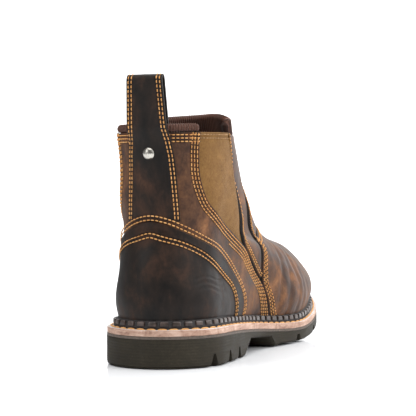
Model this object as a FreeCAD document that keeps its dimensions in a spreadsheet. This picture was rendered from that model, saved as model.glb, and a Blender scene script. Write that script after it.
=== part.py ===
import FreeCAD, Part
import math
import os

import Sketcher

# Steel toe work boot, right foot. X runs from heel to toe, Y towards the inner (medial) side and Z up.
# The upper is described once, as closed rings round the foot that climb from the welt to the collar.
# Every leather, steel and lining piece is a patch of that one surface at its own depth.

DOC = FreeCAD.newDocument("steel_toe_work_boot")
V = FreeCAD.Vector

# ------------------------------------------------------------------ driving dimensions

SIZES = [
    ("sole_length", 312.0),
    ("sole_width", 114.4),
    ("collar_height", 171.0),
    ("welt_thickness", 4.6),
    ("midsole_thickness", 1.8),
    ("leather_thickness", 2.2),
    ("overlay_thickness", 1.5),
    ("band_thickness", 1.9),
    ("inner_thickness", 1.8),
    ("lining_thickness", 1.5),
    ("layer_gap", 0.15),
    ("seam_gap", 0.4),
    ("collar_roll", 3.0),
    ("front_rise", 15.0),
    ("rand_height", 6.0),
    ("stitch_length", 5.8),
    ("stitch_pitch", 7.6),
    ("thread_width", 1.7),
    ("thread_height", 1.0),
    ("steel_plate", 0.6),
    ("board_thickness", 2.2),
    ("footbed_thickness", 5.0),
    ("strap_width", 28.0),
    ("strap_foot_width", 43.0),
    ("loop_height", 37.0),
    ("loop_depth", 10.4),
    ("loop_top_depth", 7.4),
    ("loop_tilt", 8.5),
    ("loop_lift", 4.0),
    ("rivet_diameter", 8.6),
    ("rivet_dome", 2.0),
    ("rivet_shank", 3.0),
    ("burr_diameter", 9.0),
    ("burr_thickness", 0.8),
    ("burr_seat", 0.6),
    ("strap_thickness", 1.9),
    ("rivet_height", 151.6),
    ("notch_width", 7.0),
    ("notch_depth", 9.0),
    ("notch_height", 8.0),
    ("groove_width", 6.0),
    ("groove_depth", 3.5),
    ("groove_pitch", 14.0),
]

SHEET = DOC.addObject("Spreadsheet::Sheet", "sizes")
for row_number, (size_name, size_value) in enumerate(SIZES, start=1):
    SHEET.set("A%d" % row_number, size_name)
    SHEET.set("B%d" % row_number, str(size_value))
    SHEET.setAlias("B%d" % row_number, size_name)
DOC.recompute()


def size(name):
    """Value of a driving dimension, as the spreadsheet holds it."""
    return float(getattr(SHEET, name))


# The shape below is drawn for these sizes, and stretched with the driving dimensions.
DRAWN_LENGTH = 312.0
DRAWN_WIDTH = 114.4
DRAWN_HEIGHT = 171.0

STRETCH_X = size("sole_length") / DRAWN_LENGTH
STRETCH_Y = size("sole_width") / DRAWN_WIDTH
STRETCH_Z = size("collar_height") / DRAWN_HEIGHT

# ------------------------------------------------------------------ curves

# Height of the welt's top along the boot: the heel stands high, the toe springs up.
WELT_TOP = [(0, 27.3), (45, 26.8), (90, 24.4), (130, 20.9), (170, 17.3), (205, 16.6), (240, 20), (275, 26.5),
            (312, 35.5)]

# Rings of the upper, from the welt to above the collar. Each has its back point and front point, its half
# width at the heel, waist and ball on the outer and inner side, the length of its back and front rounding,
# how square the front rounding is, and how closely it follows the welt's height.
BACK_X, BACK_Z, FRONT_X, FRONT_Z = 0, 1, 2, 3
HEEL_OUT, HEEL_IN, HEEL_ROUND = 4, 5, 6
BALL_OUT, BALL_IN, TOE_ROUND, TOE_SQUARE = 7, 8, 9, 10
WAIST_OUT, WAIST_IN, FOLLOW = 11, 12, 13
RINGS = [
    (9.0, 27.3, 301, 27.3, 34.0, 34.0, 40, 48.0, 47.0, 100, 2.35, 33.0, 26.0, 1.0),
    (6.0, 45.8, 304, 43.2, 37.4, 37.2, 42, 54.2, 53.4, 102, 2.35, 39.0, 33.5, 0.8),
    (7.2, 64.1, 300, 55.1, 35.2, 35.2, 42, 49.8, 50.2, 104, 2.3, 37.6, 35.2, 0.35),
    (10.0, 78.2, 290.5, 65.8, 34.8, 34.8, 42, 42.4, 42.6, 109, 2.2, 38.0, 36.6, 0.1),
    (12.0, 86.7, 276, 73.2, 34.9, 34.9, 43, 37.2, 37.4, 114, 2.1, 38.2, 37.2, 0.0),
    (13.3, 93.7, 256, 77.4, 35.3, 35.3, 44, 33.4, 33.6, 116, 2.05, 38.5, 37.9, 0.0),
    (14.3, 100.6, 236, 81.4, 36.3, 36.3, 45, 30.8, 30.8, 108, 2.0, 39.3, 38.6, 0.0),
    (14.9, 110.6, 214, 89.5, 38.1, 38.1, 46, 29.3, 29.3, 90, 2.0, 40.3, 39.8, 0.0),
    (14.9, 124.6, 190, 104.2, 40.6, 41.0, 48, 31.1, 31.1, 80, 2.0, 41.6, 41.6, 0.0),
    (14.0, 139.6, 163, 124.1, 41.4, 42.2, 52, 33.0, 33.0, 68, 2.0, 41.9, 42.2, 0.0),
    (12.1, 154.7, 141.5, 148.3, 42.1, 43.1, 56, 35.5, 35.8, 62, 2.0, 42.1, 42.8, 0.0),
    (9.5, 167.8, 128.5, 170.6, 42.7, 43.7, 58, 36.8, 37.2, 60, 2.0, 42.7, 43.4, 0.0),
    (7.4, 181.8, 121, 194.8, 42.6, 43.6, 60, 38.1, 38.4, 60, 2.0, 42.6, 43.3, 0.0),
]

# The forefoot swings to the inner side, ahead of this point.
SWING_START = 60.0
SWING_LENGTH = 250.0
SWING = 9.0

# From the foot of the upper (0) to the edge of the sole (1).
FOOT_TO_EDGE = {BACK_X: -9.0, FRONT_X: 11.0, HEEL_OUT: 10.9, HEEL_IN: 10.9, HEEL_ROUND: 4.0,
                BALL_OUT: 9.2, BALL_IN: 9.5, TOE_ROUND: 4.0, WAIST_OUT: 9.0, WAIST_IN: 9.0}
SOLE_REACH = 1.0
MIDSOLE_REACH = 0.985
WELT_REACH = 0.97
STITCH_REACH = 0.80
RAND_REACH = 0.63
RAND_INNER_REACH = 0.45
WELT_INNER_REACH = -0.36
FILLER_REACH = -0.40
PLATE_REACH = -0.76

ARC_STEPS = 44


def hermite(knots, values, x):
    """Smooth curve through values at knots, its slopes taken from the neighbouring points."""
    last = len(knots) - 1
    i = 0
    while i < last - 1 and x > knots[i + 1]:
        i += 1

    def slope(k):
        low, high = max(k - 1, 0), min(k + 1, last)
        return (values[high] - values[low]) / (knots[high] - knots[low])

    span = knots[i + 1] - knots[i]
    f = (x - knots[i]) / span
    start, end = values[i], values[i + 1]
    rise = end - start
    a, b = slope(i) * span, slope(i + 1) * span
    return start + f * (a + f * (3 * rise - 2 * a - b + f * (a + b - 2 * rise)))


class Spline:
    """Natural cubic spline: the smoothest curve through values at knots."""

    def __init__(self, knots, values):
        self.knots, self.values = knots, values
        count = len(knots)
        upper, bend = [0.0] * count, [0.0] * count
        for i in range(1, count - 1):
            before, after = knots[i] - knots[i - 1], knots[i + 1] - knots[i]
            turn = (values[i + 1] - values[i]) / after - (values[i] - values[i - 1]) / before
            pivot = 2 * (before + after) - before * upper[i - 1]
            upper[i] = after / pivot
            bend[i] = (6 * turn - before * bend[i - 1]) / pivot
        for i in range(count - 2, 0, -1):
            bend[i] -= upper[i] * bend[i + 1]
        self.bend = bend

    def __call__(self, x):
        knots, values, bend = self.knots, self.values, self.bend
        i = 0
        while i < len(knots) - 2 and x > knots[i + 1]:
            i += 1
        span = knots[i + 1] - knots[i]
        f = (x - knots[i]) / span
        g = 1 - f
        curve = (g ** 3 - g) * bend[i] + (f ** 3 - f) * bend[i + 1]
        return g * values[i] + f * values[i + 1] + curve * span * span / 6


welt_top = Spline([x for x, _ in WELT_TOP], [z for _, z in WELT_TOP])
RING_CURVES = [Spline(list(range(len(RINGS))), column) for column in zip(*RINGS)]


def ease(f):
    return f * f * (3 - 2 * f)


def half_ring(row, side):
    """Points (x, y, z) of one side of a ring, from the back point to the front point."""
    inner = side > 0
    heel = row[HEEL_IN if inner else HEEL_OUT]
    ball = row[BALL_IN if inner else BALL_OUT]
    waist = row[WAIST_IN if inner else WAIST_OUT]
    back, front = row[BACK_X], row[FRONT_X]
    heel_round, toe_round = row[HEEL_ROUND], row[TOE_ROUND]
    plan = []
    for i in range(ARC_STEPS):
        angle = math.pi / 2 * i / ARC_STEPS
        plan.append((back + heel_round * (1 - math.cos(angle)), heel * math.sin(angle)))
    middle = front - back - heel_round - toe_round
    for i in range(ARC_STEPS):
        f = i / ARC_STEPS
        if f < 0.5:
            half = heel + (waist - heel) * ease(2 * f)
        else:
            half = waist + (ball - waist) * ease(2 * f - 1)
        plan.append((back + heel_round + middle * f, half))
    power = 2 / row[TOE_SQUARE]
    for i in range(ARC_STEPS + 1):
        angle = math.pi / 2 * (1 - i / ARC_STEPS)
        across = math.sin(angle) ** power if i < ARC_STEPS else 0.0
        plan.append((front - toe_round + toe_round * abs(math.cos(angle)) ** power, ball * across))
    points = []
    welt_back, welt_front = welt_top(back), welt_top(front)
    for x, y in plan:
        f = (x - back) / (front - back)
        straight = welt_back + (welt_front - welt_back) * f
        follow = (welt_top(x) - straight) + (straight - WELT_TOP[0][1])
        z = row[BACK_Z] + (row[FRONT_Z] - row[BACK_Z]) * f + row[FOLLOW] * follow
        points.append((x, side * y + swing(x), z))
    return points


def swing(x):
    f = min(max((x - SWING_START) / SWING_LENGTH, 0.0), 1.0)
    return SWING * f * f


def ring_row(t):
    """Ring parameters at height t, from 0 at the welt to 1 at the last ring."""
    return [curve(t * (len(RINGS) - 1)) for curve in RING_CURVES]


HALF_RINGS = {}


def measured_ring(t, side):
    """Half ring at height t with the running length of its points."""
    key = (round(t, 7), side)
    if key not in HALF_RINGS:
        points = half_ring(ring_row(t), side)
        run = [0.0]
        for p, q in zip(points, points[1:]):
            run.append(run[-1] + math.dist(p, q))
        HALF_RINGS[key] = (points, run)
    return HALF_RINGS[key]


def at_length(points, run, length):
    low, high = 0, len(run) - 1
    while high - low > 1:
        middle = (low + high) // 2
        if run[middle] <= length:
            low = middle
        else:
            high = middle
    f = (length - run[low]) / (run[high] - run[low])
    return tuple(a + (b - a) * f for a, b in zip(points[low], points[high]))


def drawn_point(u, t):
    """Point of the drawn surface. u is 0 at the back, 1 at the front by the outer side, 2 round to the
    back again; below 0 it runs forward along the inner side."""
    if u < 0:
        side, share = 1, -u
    elif u <= 1:
        side, share = -1, u
    else:
        side, share = 1, 2 - u
    points, run = measured_ring(t, side)
    return at_length(points, run, share * run[-1])


def sole_outline(reach):
    """Closed plan outline, as drawn (x, y) points, from the upper's foot (0) to the sole's edge (1)."""
    row = list(RINGS[0])
    for column, growth in FOOT_TO_EDGE.items():
        row[column] += growth * reach
    outer = [p[:2] for p in half_ring(row, -1)]
    inner = [p[:2] for p in half_ring(row, 1)]
    return outer + inner[-2:0:-1]


EDGE = sole_outline(1.0)
MIDDLE_Y = (min(p[1] for p in EDGE) + max(p[1] for p in EDGE)) / 2


def placed(x, y, z):
    """A drawn point as a vector in the boot's frame."""
    return V((x - DRAWN_LENGTH / 2) * STRETCH_X, (y - MIDDLE_Y) * STRETCH_Y, z * STRETCH_Z)


NORMAL_U = 0.008
NORMAL_T = 0.012
UPPER_FOOT = 0.006


def at_depth(u, t, depth):
    """Point of the upper's surface, moved outwards by depth (inwards where it is negative)."""
    low_t, high_t = max(t - NORMAL_T, 0.0), min(t + NORMAL_T, 1.0)
    along = placed(*drawn_point(u + NORMAL_U, t)) - placed(*drawn_point(u - NORMAL_U, t))
    upward = placed(*drawn_point(u, high_t)) - placed(*drawn_point(u, low_t))
    normal = along.cross(upward)
    normal.normalize()
    return placed(*drawn_point(u, t)) + normal * depth


def share_at_x(points, x):
    """Index place along a half ring where it reaches x."""
    for i in range(len(points) - 1):
        if points[i + 1][0] >= x:
            span = points[i + 1][0] - points[i][0]
            return i, (x - points[i][0]) / span if span > 0 else 0.0
    return len(points) - 2, 1.0


def locate(x, z):
    """Place (u, t) on the outer side whose side view is (x, z)."""
    low, high = 0.0, 1.0
    for _ in range(22):
        t = (low + high) / 2
        points, run = measured_ring(t, -1)
        i, f = share_at_x(points, x)
        height = points[i][2] + (points[i + 1][2] - points[i][2]) * f
        if height < z:
            low = t
        else:
            high = t
    share = (run[i] + (run[i + 1] - run[i]) * f) / run[-1]
    return share, t


def front_height(x):
    """Height t of the ring whose front point is at x."""
    low, high = 0.25, 1.0
    for _ in range(22):
        t = (low + high) / 2
        if ring_row(t)[FRONT_X] > x:
            low = t
        else:
            high = t
    return t


BACK_REACH = 16.0


def strap_place(half_width, z):
    """Place (u, t) at a distance round from the back seam, at height z there."""
    u, t = 0.0, locate(BACK_REACH, z)[1]
    run = measured_ring(t, -1)[1]
    return half_width / run[-1], t


# ------------------------------------------------------------------ seams, as side views (x, z)

RIM = 166.5
COLLAR_TOP = 171.0
TAB_FOOT = 146.0
FRONT_RIM = 165.5
GUSSET_TOP = FRONT_RIM - 0.4
QUARTER_FRONT = [(161, 16.8), (153.5, 27), (147.5, 37.1), (140, 51.3), (129, 62.1), (117, 72.4), (104, 81.8),
                 (88, 89.2), (71, 97.1), (50, 108.2), (38.5, 117.5), (32.5, 132.1), (30.8, 149.2), (30.2, RIM)]
VAMP_REAR = [(162, 16.8), (154.5, 27), (148.8, 37.1), (142.5, 50.3), (143.5, 58.2), (145, 70.2), (147, 84.1)]
STRIP_REAR = [(139.3, 54.9), (130, 64.4), (117.5, 74.7), (106, 83.7), (103, 92.8), (100, 102.4), (94.5, 117.5),
              (84.5, 142.8), (74, FRONT_RIM)]
STRIP_FRONT = [(141.2, 55.8), (142, 64.3), (142.6, 75.3), (142.2, 86.3), (138.5, 104.4), (128.5, 125.6),
               (117, 145.9), (106, FRONT_RIM)]
PANEL_SIDE = [(148, 86.6), (149, 99.1), (146, 113.2), (138.5, 127.4), (128, 145.6), (117, FRONT_RIM)]
REAR_GUSSET_BACK = [(24.5, 110.4), (23.5, 121.4), (23, 139.4), (22.5, GUSSET_TOP)]
REAR_GUSSET_FOOT = [(24.5, 110.4), (40, 102), (60, 92.4), (82, 82.9), (103, 69.3)]
REAR_GUSSET_FRONT = [(103, 69.3), (111, 83.1), (109, 102.1), (101.5, 121.3), (93, 139.6), (82.5, GUSSET_TOP)]
FRONT_GUSSET_BACK = [(138.5, 60.4), (136.5, 84.4), (131, 104.6), (121, 125.8), (110, 146.1), (99.5, 162.4)]
FRONT_GUSSET_FRONT = [(147, 60.1), (152, 84), (153, 104), (146, 125.2), (135, 144.5), (123, 161.8)]
BAND_OUTER = [(99, 24.4), (97.5, 36.4), (90.5, 51.6), (78.5, 64.4), (55.5, 79), (37, 87), (23.5, 94.6),
              (17, 100)]
BAND_OUTER_BACK = 102.8
BAND_INNER = [(88.5, 25.4), (86.5, 35.7), (77.5, 54), (63, 64.6), (43.6, 75.9), (31, 83.4), (21, 89.4),
              (15, 93.2)]
BAND_INNER_BACK = 95.6
COVER_CORNER = 0.24
LINING_SIDE = [(108, 89.2), (106, 101.2), (99.5, 119.4), (89.5, 142.7), (79, FRONT_RIM)]
TOE_PAD_LENGTH = 13.0
TOE_CAP_REAR = [(240, 17.7), (239, 35.7), (237, 53.8), (234, 69.9), (231, 77.9)]
THROAT_X = 203.0
STIFFENER_FRONT = [(76, 27.5), (74, 43.1), (66, 60.3), (52, 74.6)]
STIFFENER_TOP = 82.0


def seam(points):
    """Smooth curve in (u, t) through side-view points, run from 0 to 1 along its length."""
    places = [locate(x, z) for x, z in points]
    run = [0.0]
    for (x, z), (next_x, next_z) in zip(points, points[1:]):
        run.append(run[-1] + math.hypot(next_x - x, next_z - z))
    knots = [length / run[-1] for length in run]
    us, ts = [p[0] for p in places], [p[1] for p in places]
    return lambda f: (hermite(knots, us, f), hermite(knots, ts, f))


def straight(start, end):
    return lambda f: (start[0] + (end[0] - start[0]) * f, start[1] + (end[1] - start[1]) * f)


def mirrored(curve, centre=0.0):
    """The same curve on the other side of the back seam (0) or of the front (1)."""
    return lambda f: (2 * centre - curve(f)[0], curve(f)[1])


def arched(start, middle_t, centre):
    """Curve over the back (0) or front (1) to its mirror image, level as it crosses at middle_t."""
    def whole(f):
        u = start[0] + 2 * (centre - start[0]) * f
        return u, start[1] + (middle_t - start[1]) * math.sin(math.pi * f)
    return whole


def wrapped(points, back_z):
    """Smooth curve from side-view points on the outer side, over the back at back_z, to their mirror
    image on the inner side."""
    side = [locate(x, z) for x, z in points]
    places = side + [(0.0, locate(BACK_REACH, back_z)[1])] + [(-u, t) for u, t in reversed(side)]
    run = [0.0]
    for p, q in zip(places, places[1:]):
        run.append(run[-1] + math.dist(drawn_point(*p), drawn_point(*q)))
    knots = [length / run[-1] for length in run]
    us, ts = [p[0] for p in places], [p[1] for p in places]
    return lambda f: (hermite(knots, us, f), hermite(knots, ts, f))


def patch(foot, top, start, end):
    """Places inside four edge curves: foot and top run from start to end, start and end run upwards."""
    def place(a, b):
        result = []
        for c in (0, 1):
            across = (1 - b) * foot(a)[c] + b * top(a)[c]
            upward = (1 - a) * start(b)[c] + a * end(b)[c]
            low = (1 - a) * foot(0)[c] + a * foot(1)[c]
            high = (1 - a) * top(0)[c] + a * top(1)[c]
            result.append(across + upward - (1 - b) * low - b * high)
        return result
    return place


# ------------------------------------------------------------------ solids of the upper

def smooth_poles(points):
    """Poles of a smooth cubic through evenly numbered points, two poles to each inner point."""
    last = len(points) - 1
    poles = [points[0]]
    for i in range(last + 1):
        if i == 0:
            slope = (points[1] * 4 - points[0] * 3 - points[2]) / 2
        elif i == last:
            slope = (points[last] * 3 - points[last - 1] * 4 + points[last - 2]) / 2
        else:
            slope = (points[i + 1] - points[i - 1]) / 2
        if i > 0:
            poles.append(points[i] - slope / 3)
        if i < last:
            poles.append(points[i] + slope / 3)
    return poles + [points[last]]


def layer_face(place, depth, across, upward):
    """Smooth surface through the points of a patch at one depth."""
    rows = []
    for i in range(across + 1):
        row = []
        for j in range(upward + 1):
            u, t = place(i / across, j / upward)
            row.append(at_depth(u, min(max(t, UPPER_FOOT), 1.0), depth))
        rows.append(smooth_poles(row))
    columns = [smooth_poles(list(column)) for column in zip(*rows)]
    poles = [list(row) for row in zip(*columns)]
    surface = Part.BSplineSurface()
    mults = [[4] + [2] * (count - 1) + [4] for count in (across, upward)]
    surface.buildFromPolesMultsKnots(poles, mults[0], mults[1], list(range(across + 1)),
                                     list(range(upward + 1)), False, False, 3, 3)
    return surface


def sheet_solid(place, outer, inner, across=12, upward=12):
    """A closed solid between two depths of one patch."""
    skins = [layer_face(place, depth, across, upward) for depth in (outer, inner)]
    faces = [surface.toShape() for surface in skins]
    first_u, last_u, first_v, last_v = skins[0].bounds()
    for get_line in (lambda s: s.uIso(first_u), lambda s: s.uIso(last_u),
                     lambda s: s.vIso(first_v), lambda s: s.vIso(last_v)):
        edges = [get_line(surface).toShape() for surface in skins]
        faces.append(Part.makeRuledSurface(edges[0], edges[1], 1))
    shell = Part.makeShell(faces)
    shell.sewShape()
    solid = Part.makeSolid(Part.Shell(shell.Faces))
    if solid.Volume < 0:
        solid.reverse()
    return solid


PARTS = []


def add_shape(label, shape):
    item = DOC.addObject("Part::Feature", label)
    item.Label = label
    item.Shape = shape
    PARTS.append(item)
    return item


GAP = size("layer_gap")
LEATHER_IN = -size("leather_thickness")
INNER_OUT = LEATHER_IN - GAP
INNER_IN = INNER_OUT - size("inner_thickness")
LINING_OUT = INNER_IN - GAP
LINING_IN = LINING_OUT - size("lining_thickness")
OVERLAY = (GAP + size("overlay_thickness"), GAP)
BAND = (GAP + size("band_thickness"), GAP)
LEATHER = (0.0, LEATHER_IN)
INNER = (INNER_OUT, INNER_IN)
LINING = (LINING_OUT, LINING_IN)
TAB_OUT = LINING_IN - 5 * GAP
TAB = (TAB_OUT, TAB_OUT - size("overlay_thickness"))
ELASTIC = (INNER_OUT - 2 * GAP, INNER_IN + 3 * GAP)
FRONT_KNIT = (LEATHER_IN / 3, LINING_IN)

THROAT = front_height(THROAT_X)
RING_LENGTH = measured_ring(0.5, -1)[1][-1]
SEAM_GAP_U = size("seam_gap") / RING_LENGTH
JOINT_GAP_T = 0.006


RIVET_T = locate(BACK_REACH, size("rivet_height") / STRETCH_Z)[1]
RIVET_INWARD = at_depth(0.0, RIVET_T, -1.0) - at_depth(0.0, RIVET_T, 0.0)
HOLE_REACH = 15.0


def rivet_hole(shape):
    """Cut the rivet's clearance hole through a piece at the back of the shaft."""
    radius = size("rivet_shank") / 2 + GAP
    start = at_depth(0.0, RIVET_T, HOLE_REACH)
    return shape.cut(Part.makeCylinder(radius, 2 * HOLE_REACH, start, RIVET_INWARD))


def add_quarters():
    front = seam(QUARTER_FRONT)
    back_t = locate(BACK_REACH, RIM)[1]
    back = straight((SEAM_GAP_U / 2, 0.0), (SEAM_GAP_U / 2, back_t))
    foot = straight(back(0), front(0))
    top = straight(back(1), front(1))
    outer_side = patch(foot, top, back, front)

    def inner_side(a, b):
        u, t = outer_side(a, b)
        return -u, t

    for label, place in (("quarter_lateral", outer_side), ("quarter_medial", inner_side)):
        add_shape(label, rivet_hole(sheet_solid(place, *LEATHER, across=14, upward=22)))
    lining_place = patch(straight(mirrored(front)(0), front(0)), straight(mirrored(front)(1), front(1)),
                         mirrored(front), front)
    lining = sheet_solid(lining_place, *LINING, across=26, upward=22)
    add_shape("quarter_lining", rivet_hole(lining))


def add_vamp():
    rear = seam(VAMP_REAR)
    throat = arched(rear(1), THROAT, 1.0)
    vamp_place = patch(straight(rear(0), mirrored(rear, 1)(0)), throat, rear, mirrored(rear, 1))
    add_shape("vamp", sheet_solid(vamp_place, *LEATHER, across=30, upward=14))
    add_shape("vamp_lining", sheet_solid(vamp_place, *LINING, across=30, upward=14))


def add_toe_cap():
    rear = seam(TOE_CAP_REAR)
    side_top = rear(1)
    top = straight(side_top, (2 - side_top[0], side_top[1]))
    cap = patch(straight(rear(0), mirrored(rear, 1)(0)), top, rear, mirrored(rear, 1))
    add_shape("steel_toe_cap", sheet_solid(cap, *INNER, across=22, upward=12))
    behind = [(x - TOE_PAD_LENGTH, z) for x, z in TOE_CAP_REAR]
    ahead = [(x - 2 * size("seam_gap"), z) for x, z in TOE_CAP_REAR]
    start, end = seam(behind), seam(ahead)
    for label, flip in (("toe_cap_pad_lateral", False), ("toe_cap_pad_medial", True)):
        pad = patch(straight(start(0), end(0)), straight(start(1), end(1)), start, end)

        def other_side(a, b, pad=pad):
            u, t = pad(a, b)
            return 2 - u, t

        add_shape(label, sheet_solid(other_side if flip else pad, *ELASTIC, across=3, upward=10))


def add_heel():
    front = seam(STIFFENER_FRONT)
    top_t = locate(BACK_REACH, STIFFENER_TOP)[1]
    top = arched(front(1), top_t, 0.0)
    stiffener = patch(straight(front(0), mirrored(front)(0)), top, front, mirrored(front))
    add_shape("heel_counter_stiffener", sheet_solid(stiffener, *INNER, across=20, upward=8))

    outer, inner = wrapped(BAND_OUTER, BAND_OUTER_BACK), wrapped(BAND_INNER, BAND_INNER_BACK)
    band = patch(inner, outer, straight(inner(0), outer(0)), straight(inner(1), outer(1)))
    add_shape("counter_band", sheet_solid(band, *BAND, across=40, upward=3))

    def inset(f):
        """Just inside the band's inner edge."""
        u, t = inner(f)
        return u - 2 * SEAM_GAP_U * (1 - 2 * f), t - JOINT_GAP_T

    def cover_side(f):
        return inset(COVER_CORNER * f)

    def cover_top(f):
        return inset(COVER_CORNER + (1 - 2 * COVER_CORNER) * f)

    cover = patch(straight(cover_side(0), mirrored(cover_side)(0)), cover_top, cover_side,
                  mirrored(cover_side))
    add_shape("heel_counter_cover", sheet_solid(cover, *OVERLAY, across=26, upward=12))


def add_straps():
    """The strip down the back seam, and the tab inside the collar that takes the loop's inner leg."""
    lower = strap_place(size("strap_foot_width") / 2, BAND_OUTER_BACK + 2.0)
    upper = strap_place(size("strap_width") / 2, COLLAR_TOP)
    side = straight(lower, upper)
    strip = patch(straight(mirrored(side)(0), side(0)), straight(mirrored(side)(1), side(1)),
                  mirrored(side), side)
    add_shape("back_strip", rivet_hole(sheet_solid(strip, *OVERLAY, across=8, upward=12)))
    half = size("strap_width") / 2
    side = straight(strap_place(half, TAB_FOOT), strap_place(half, COLLAR_TOP))
    tab = patch(straight(mirrored(side)(0), side(0)), straight(mirrored(side)(1), side(1)),
                mirrored(side), side)
    add_shape("loop_inner_tab", rivet_hole(sheet_solid(tab, *TAB, across=8, upward=6)))


ROLL_STEPS = 16


def add_collar():
    front = seam([(21.5, 139), (21.2, 152), (20.9, RIM)])
    foam = patch(straight(mirrored(front)(0), front(0)), straight(mirrored(front)(1), front(1)),
                 mirrored(front), front)
    add_shape("rear_collar_foam", rivet_hole(sheet_solid(foam, *INNER, across=14, upward=6)))
    roll = size("collar_roll")
    centre_z = RIM + (roll + GAP) / STRETCH_Z
    front_x = QUARTER_FRONT[-1][0]
    rim_u, rim_t = locate(front_x, centre_z)
    back_t = locate(BACK_REACH, centre_z)[1]
    points = []
    for i in range(ROLL_STEPS + 1):
        f = 2 * i / ROLL_STEPS - 1
        points.append(at_depth(f * rim_u, back_t + (rim_t - back_t) * abs(f), -roll - GAP))
    spine = Part.BSplineCurve()
    spine.interpolate(points)
    wire = Part.Wire([spine.toShape()])
    circle = Part.Circle(points[0], spine.tangent(0.0)[0], roll).toShape()
    add_shape("rear_collar_knit", wire.makePipeShell([Part.Wire([circle])], True, True))


def add_gussets():
    start, end = seam(REAR_GUSSET_BACK), seam(REAR_GUSSET_FRONT)
    foot = seam(REAR_GUSSET_FOOT)
    rear = patch(foot, straight(start(1), end(1)), start, end)
    start, end = seam(FRONT_GUSSET_BACK), seam(FRONT_GUSSET_FRONT)
    front = patch(straight(start(0), end(0)), straight(start(1), end(1)), start, end)
    for name, place in (("rear_gusset", rear), ("front_gusset", front)):
        add_shape(name + "_lateral", sheet_solid(place, *ELASTIC, across=20, upward=26))

        def other_side(a, b, place=place):
            u, t = place(a, b)
            return -u, t

        add_shape(name + "_medial", sheet_solid(other_side, *ELASTIC, across=20, upward=26))


def add_front_shaft():
    start, end = seam(STRIP_REAR), seam(STRIP_FRONT)
    strip = patch(straight(start(0), end(0)), straight(start(1), end(1)), start, end)

    def other_side(a, b):
        u, t = strip(a, b)
        return -u, t

    add_shape("side_strip_lateral", sheet_solid(strip, *LEATHER, across=12, upward=30))
    add_shape("side_strip_medial", sheet_solid(other_side, *LEATHER, across=12, upward=30))

    side = seam(PANEL_SIDE)
    foot = arched(side(0), THROAT + 2 * JOINT_GAP_T, 1.0)
    top = straight(side(1), mirrored(side, 1)(1))
    panel = patch(foot, top, side, mirrored(side, 1))
    add_shape("front_panel", sheet_solid(panel, *LEATHER, across=16, upward=14))

    side = seam(LINING_SIDE)
    foot = arched(side(0), THROAT + 2 * JOINT_GAP_T, 1.0)
    top = straight(side(1), mirrored(side, 1)(1))
    lining = patch(foot, top, side, mirrored(side, 1))
    add_shape("front_lining", sheet_solid(lining, *LINING, across=36, upward=18))

    rise = [(79, FRONT_RIM + 0.4), (78, FRONT_RIM + size("front_rise") / STRETCH_Z)]
    side = seam(rise)
    collar = patch(straight(side(0), mirrored(side, 1)(0)), straight(side(1), mirrored(side, 1)(1)),
                   side, mirrored(side, 1))
    add_shape("front_collar_knit", sheet_solid(collar, *FRONT_KNIT, across=24, upward=3))


# ------------------------------------------------------------------ bodies: sole unit and fittings

WALL_MARGIN = 6.0
PAST_BOTH_SIDES = "sizes.sole_width * 1.5"
PROFILE_STEP = 18
OUTLINE_STEP = 6


def new_body(label):
    item = DOC.addObject("PartDesign::Body", label)
    item.Label = label
    PARTS.append(item)
    return item


def new_sketch(body, role, name):
    plane = next(feature for feature in body.Origin.OriginFeatures if feature.Role == role)
    sketch = body.newObject("Sketcher::SketchObject", name)
    sketch.AttachmentSupport = [(plane, "")]
    sketch.MapMode = "FlatFace"
    return sketch


def add_loop(sketch, curves):
    for curve in curves:
        sketch.addGeometry(curve)


def polygon(points):
    """Closed loop of lines through (x, y) points."""
    corners = [V(x, y, 0) for x, y in points]
    return [Part.LineSegment(p, q) for p, q in zip(corners, corners[1:] + corners[:1])]


def rectangle(low_x, low_y, high_x, high_y):
    return polygon([(low_x, low_y), (high_x, low_y), (high_x, high_y), (low_x, high_y)])


def through(points):
    curve = Part.BSplineCurve()
    curve.interpolate([V(x, y, 0) for x, y in points])
    return curve


def welt_line(offset):
    """Side-view points that follow the welt's top at a distance above it, past both ends of the sole."""
    xs = range(-int(WALL_MARGIN), int(DRAWN_LENGTH + WALL_MARGIN) + 1, PROFILE_STEP)
    points = []
    for x in xs:
        inside = min(max(x, 0), DRAWN_LENGTH)
        at = placed(x, 0, welt_top(inside))
        points.append((at.x, at.z + offset))
    return points


def outline_curve(reach):
    """Closed plan outline of the sole unit at a reach."""
    points = [placed(x, y, 0) for x, y in sole_outline(reach)][::OUTLINE_STEP]
    curve = Part.BSplineCurve()
    curve.interpolate(Points=[V(p.x, p.y, 0) for p in points], PeriodicFlag=True)
    return curve


def pad_across(body, sketch):
    pad = body.newObject("PartDesign::Pad", "pad")
    pad.Profile = sketch
    pad.SideType = "Symmetric"
    pad.setExpression("Length", PAST_BOTH_SIDES)
    return pad


def cut_upwards(body, sketch, name):
    """Cut all that stands on a sketch of the ground plane."""
    cut = body.newObject("PartDesign::Pocket", name)
    cut.Profile = sketch
    cut.Type = "ThroughAll"
    cut.Reversed = True
    return cut


def trim_to_outline(body, reach, inner_reach=None):
    outside = new_sketch(body, "XY_Plane", "outside")
    half_length, half_width = size("sole_length"), size("sole_width")
    add_loop(outside, rectangle(-half_length, -half_width, half_length, half_width))
    outside.addGeometry(outline_curve(reach))
    cut_upwards(body, outside, "trim")
    if inner_reach is not None:
        inside = new_sketch(body, "XY_Plane", "inside")
        inside.addGeometry(outline_curve(inner_reach))
        cut_upwards(body, inside, "opening")


def add_layer(label, low, high, reach, inner_reach=None):
    """A layer of the sole unit that follows the welt between two heights and fills an outline."""
    body = new_body(label)
    profile = new_sketch(body, "XZ_Plane", "profile")
    top, foot = through(welt_line(high)), through(welt_line(low))
    add_loop(profile, [top, foot, Part.LineSegment(foot.StartPoint, top.StartPoint),
                       Part.LineSegment(foot.EndPoint, top.EndPoint)])
    pad_across(body, profile)
    trim_to_outline(body, reach, inner_reach)
    return body


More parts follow.
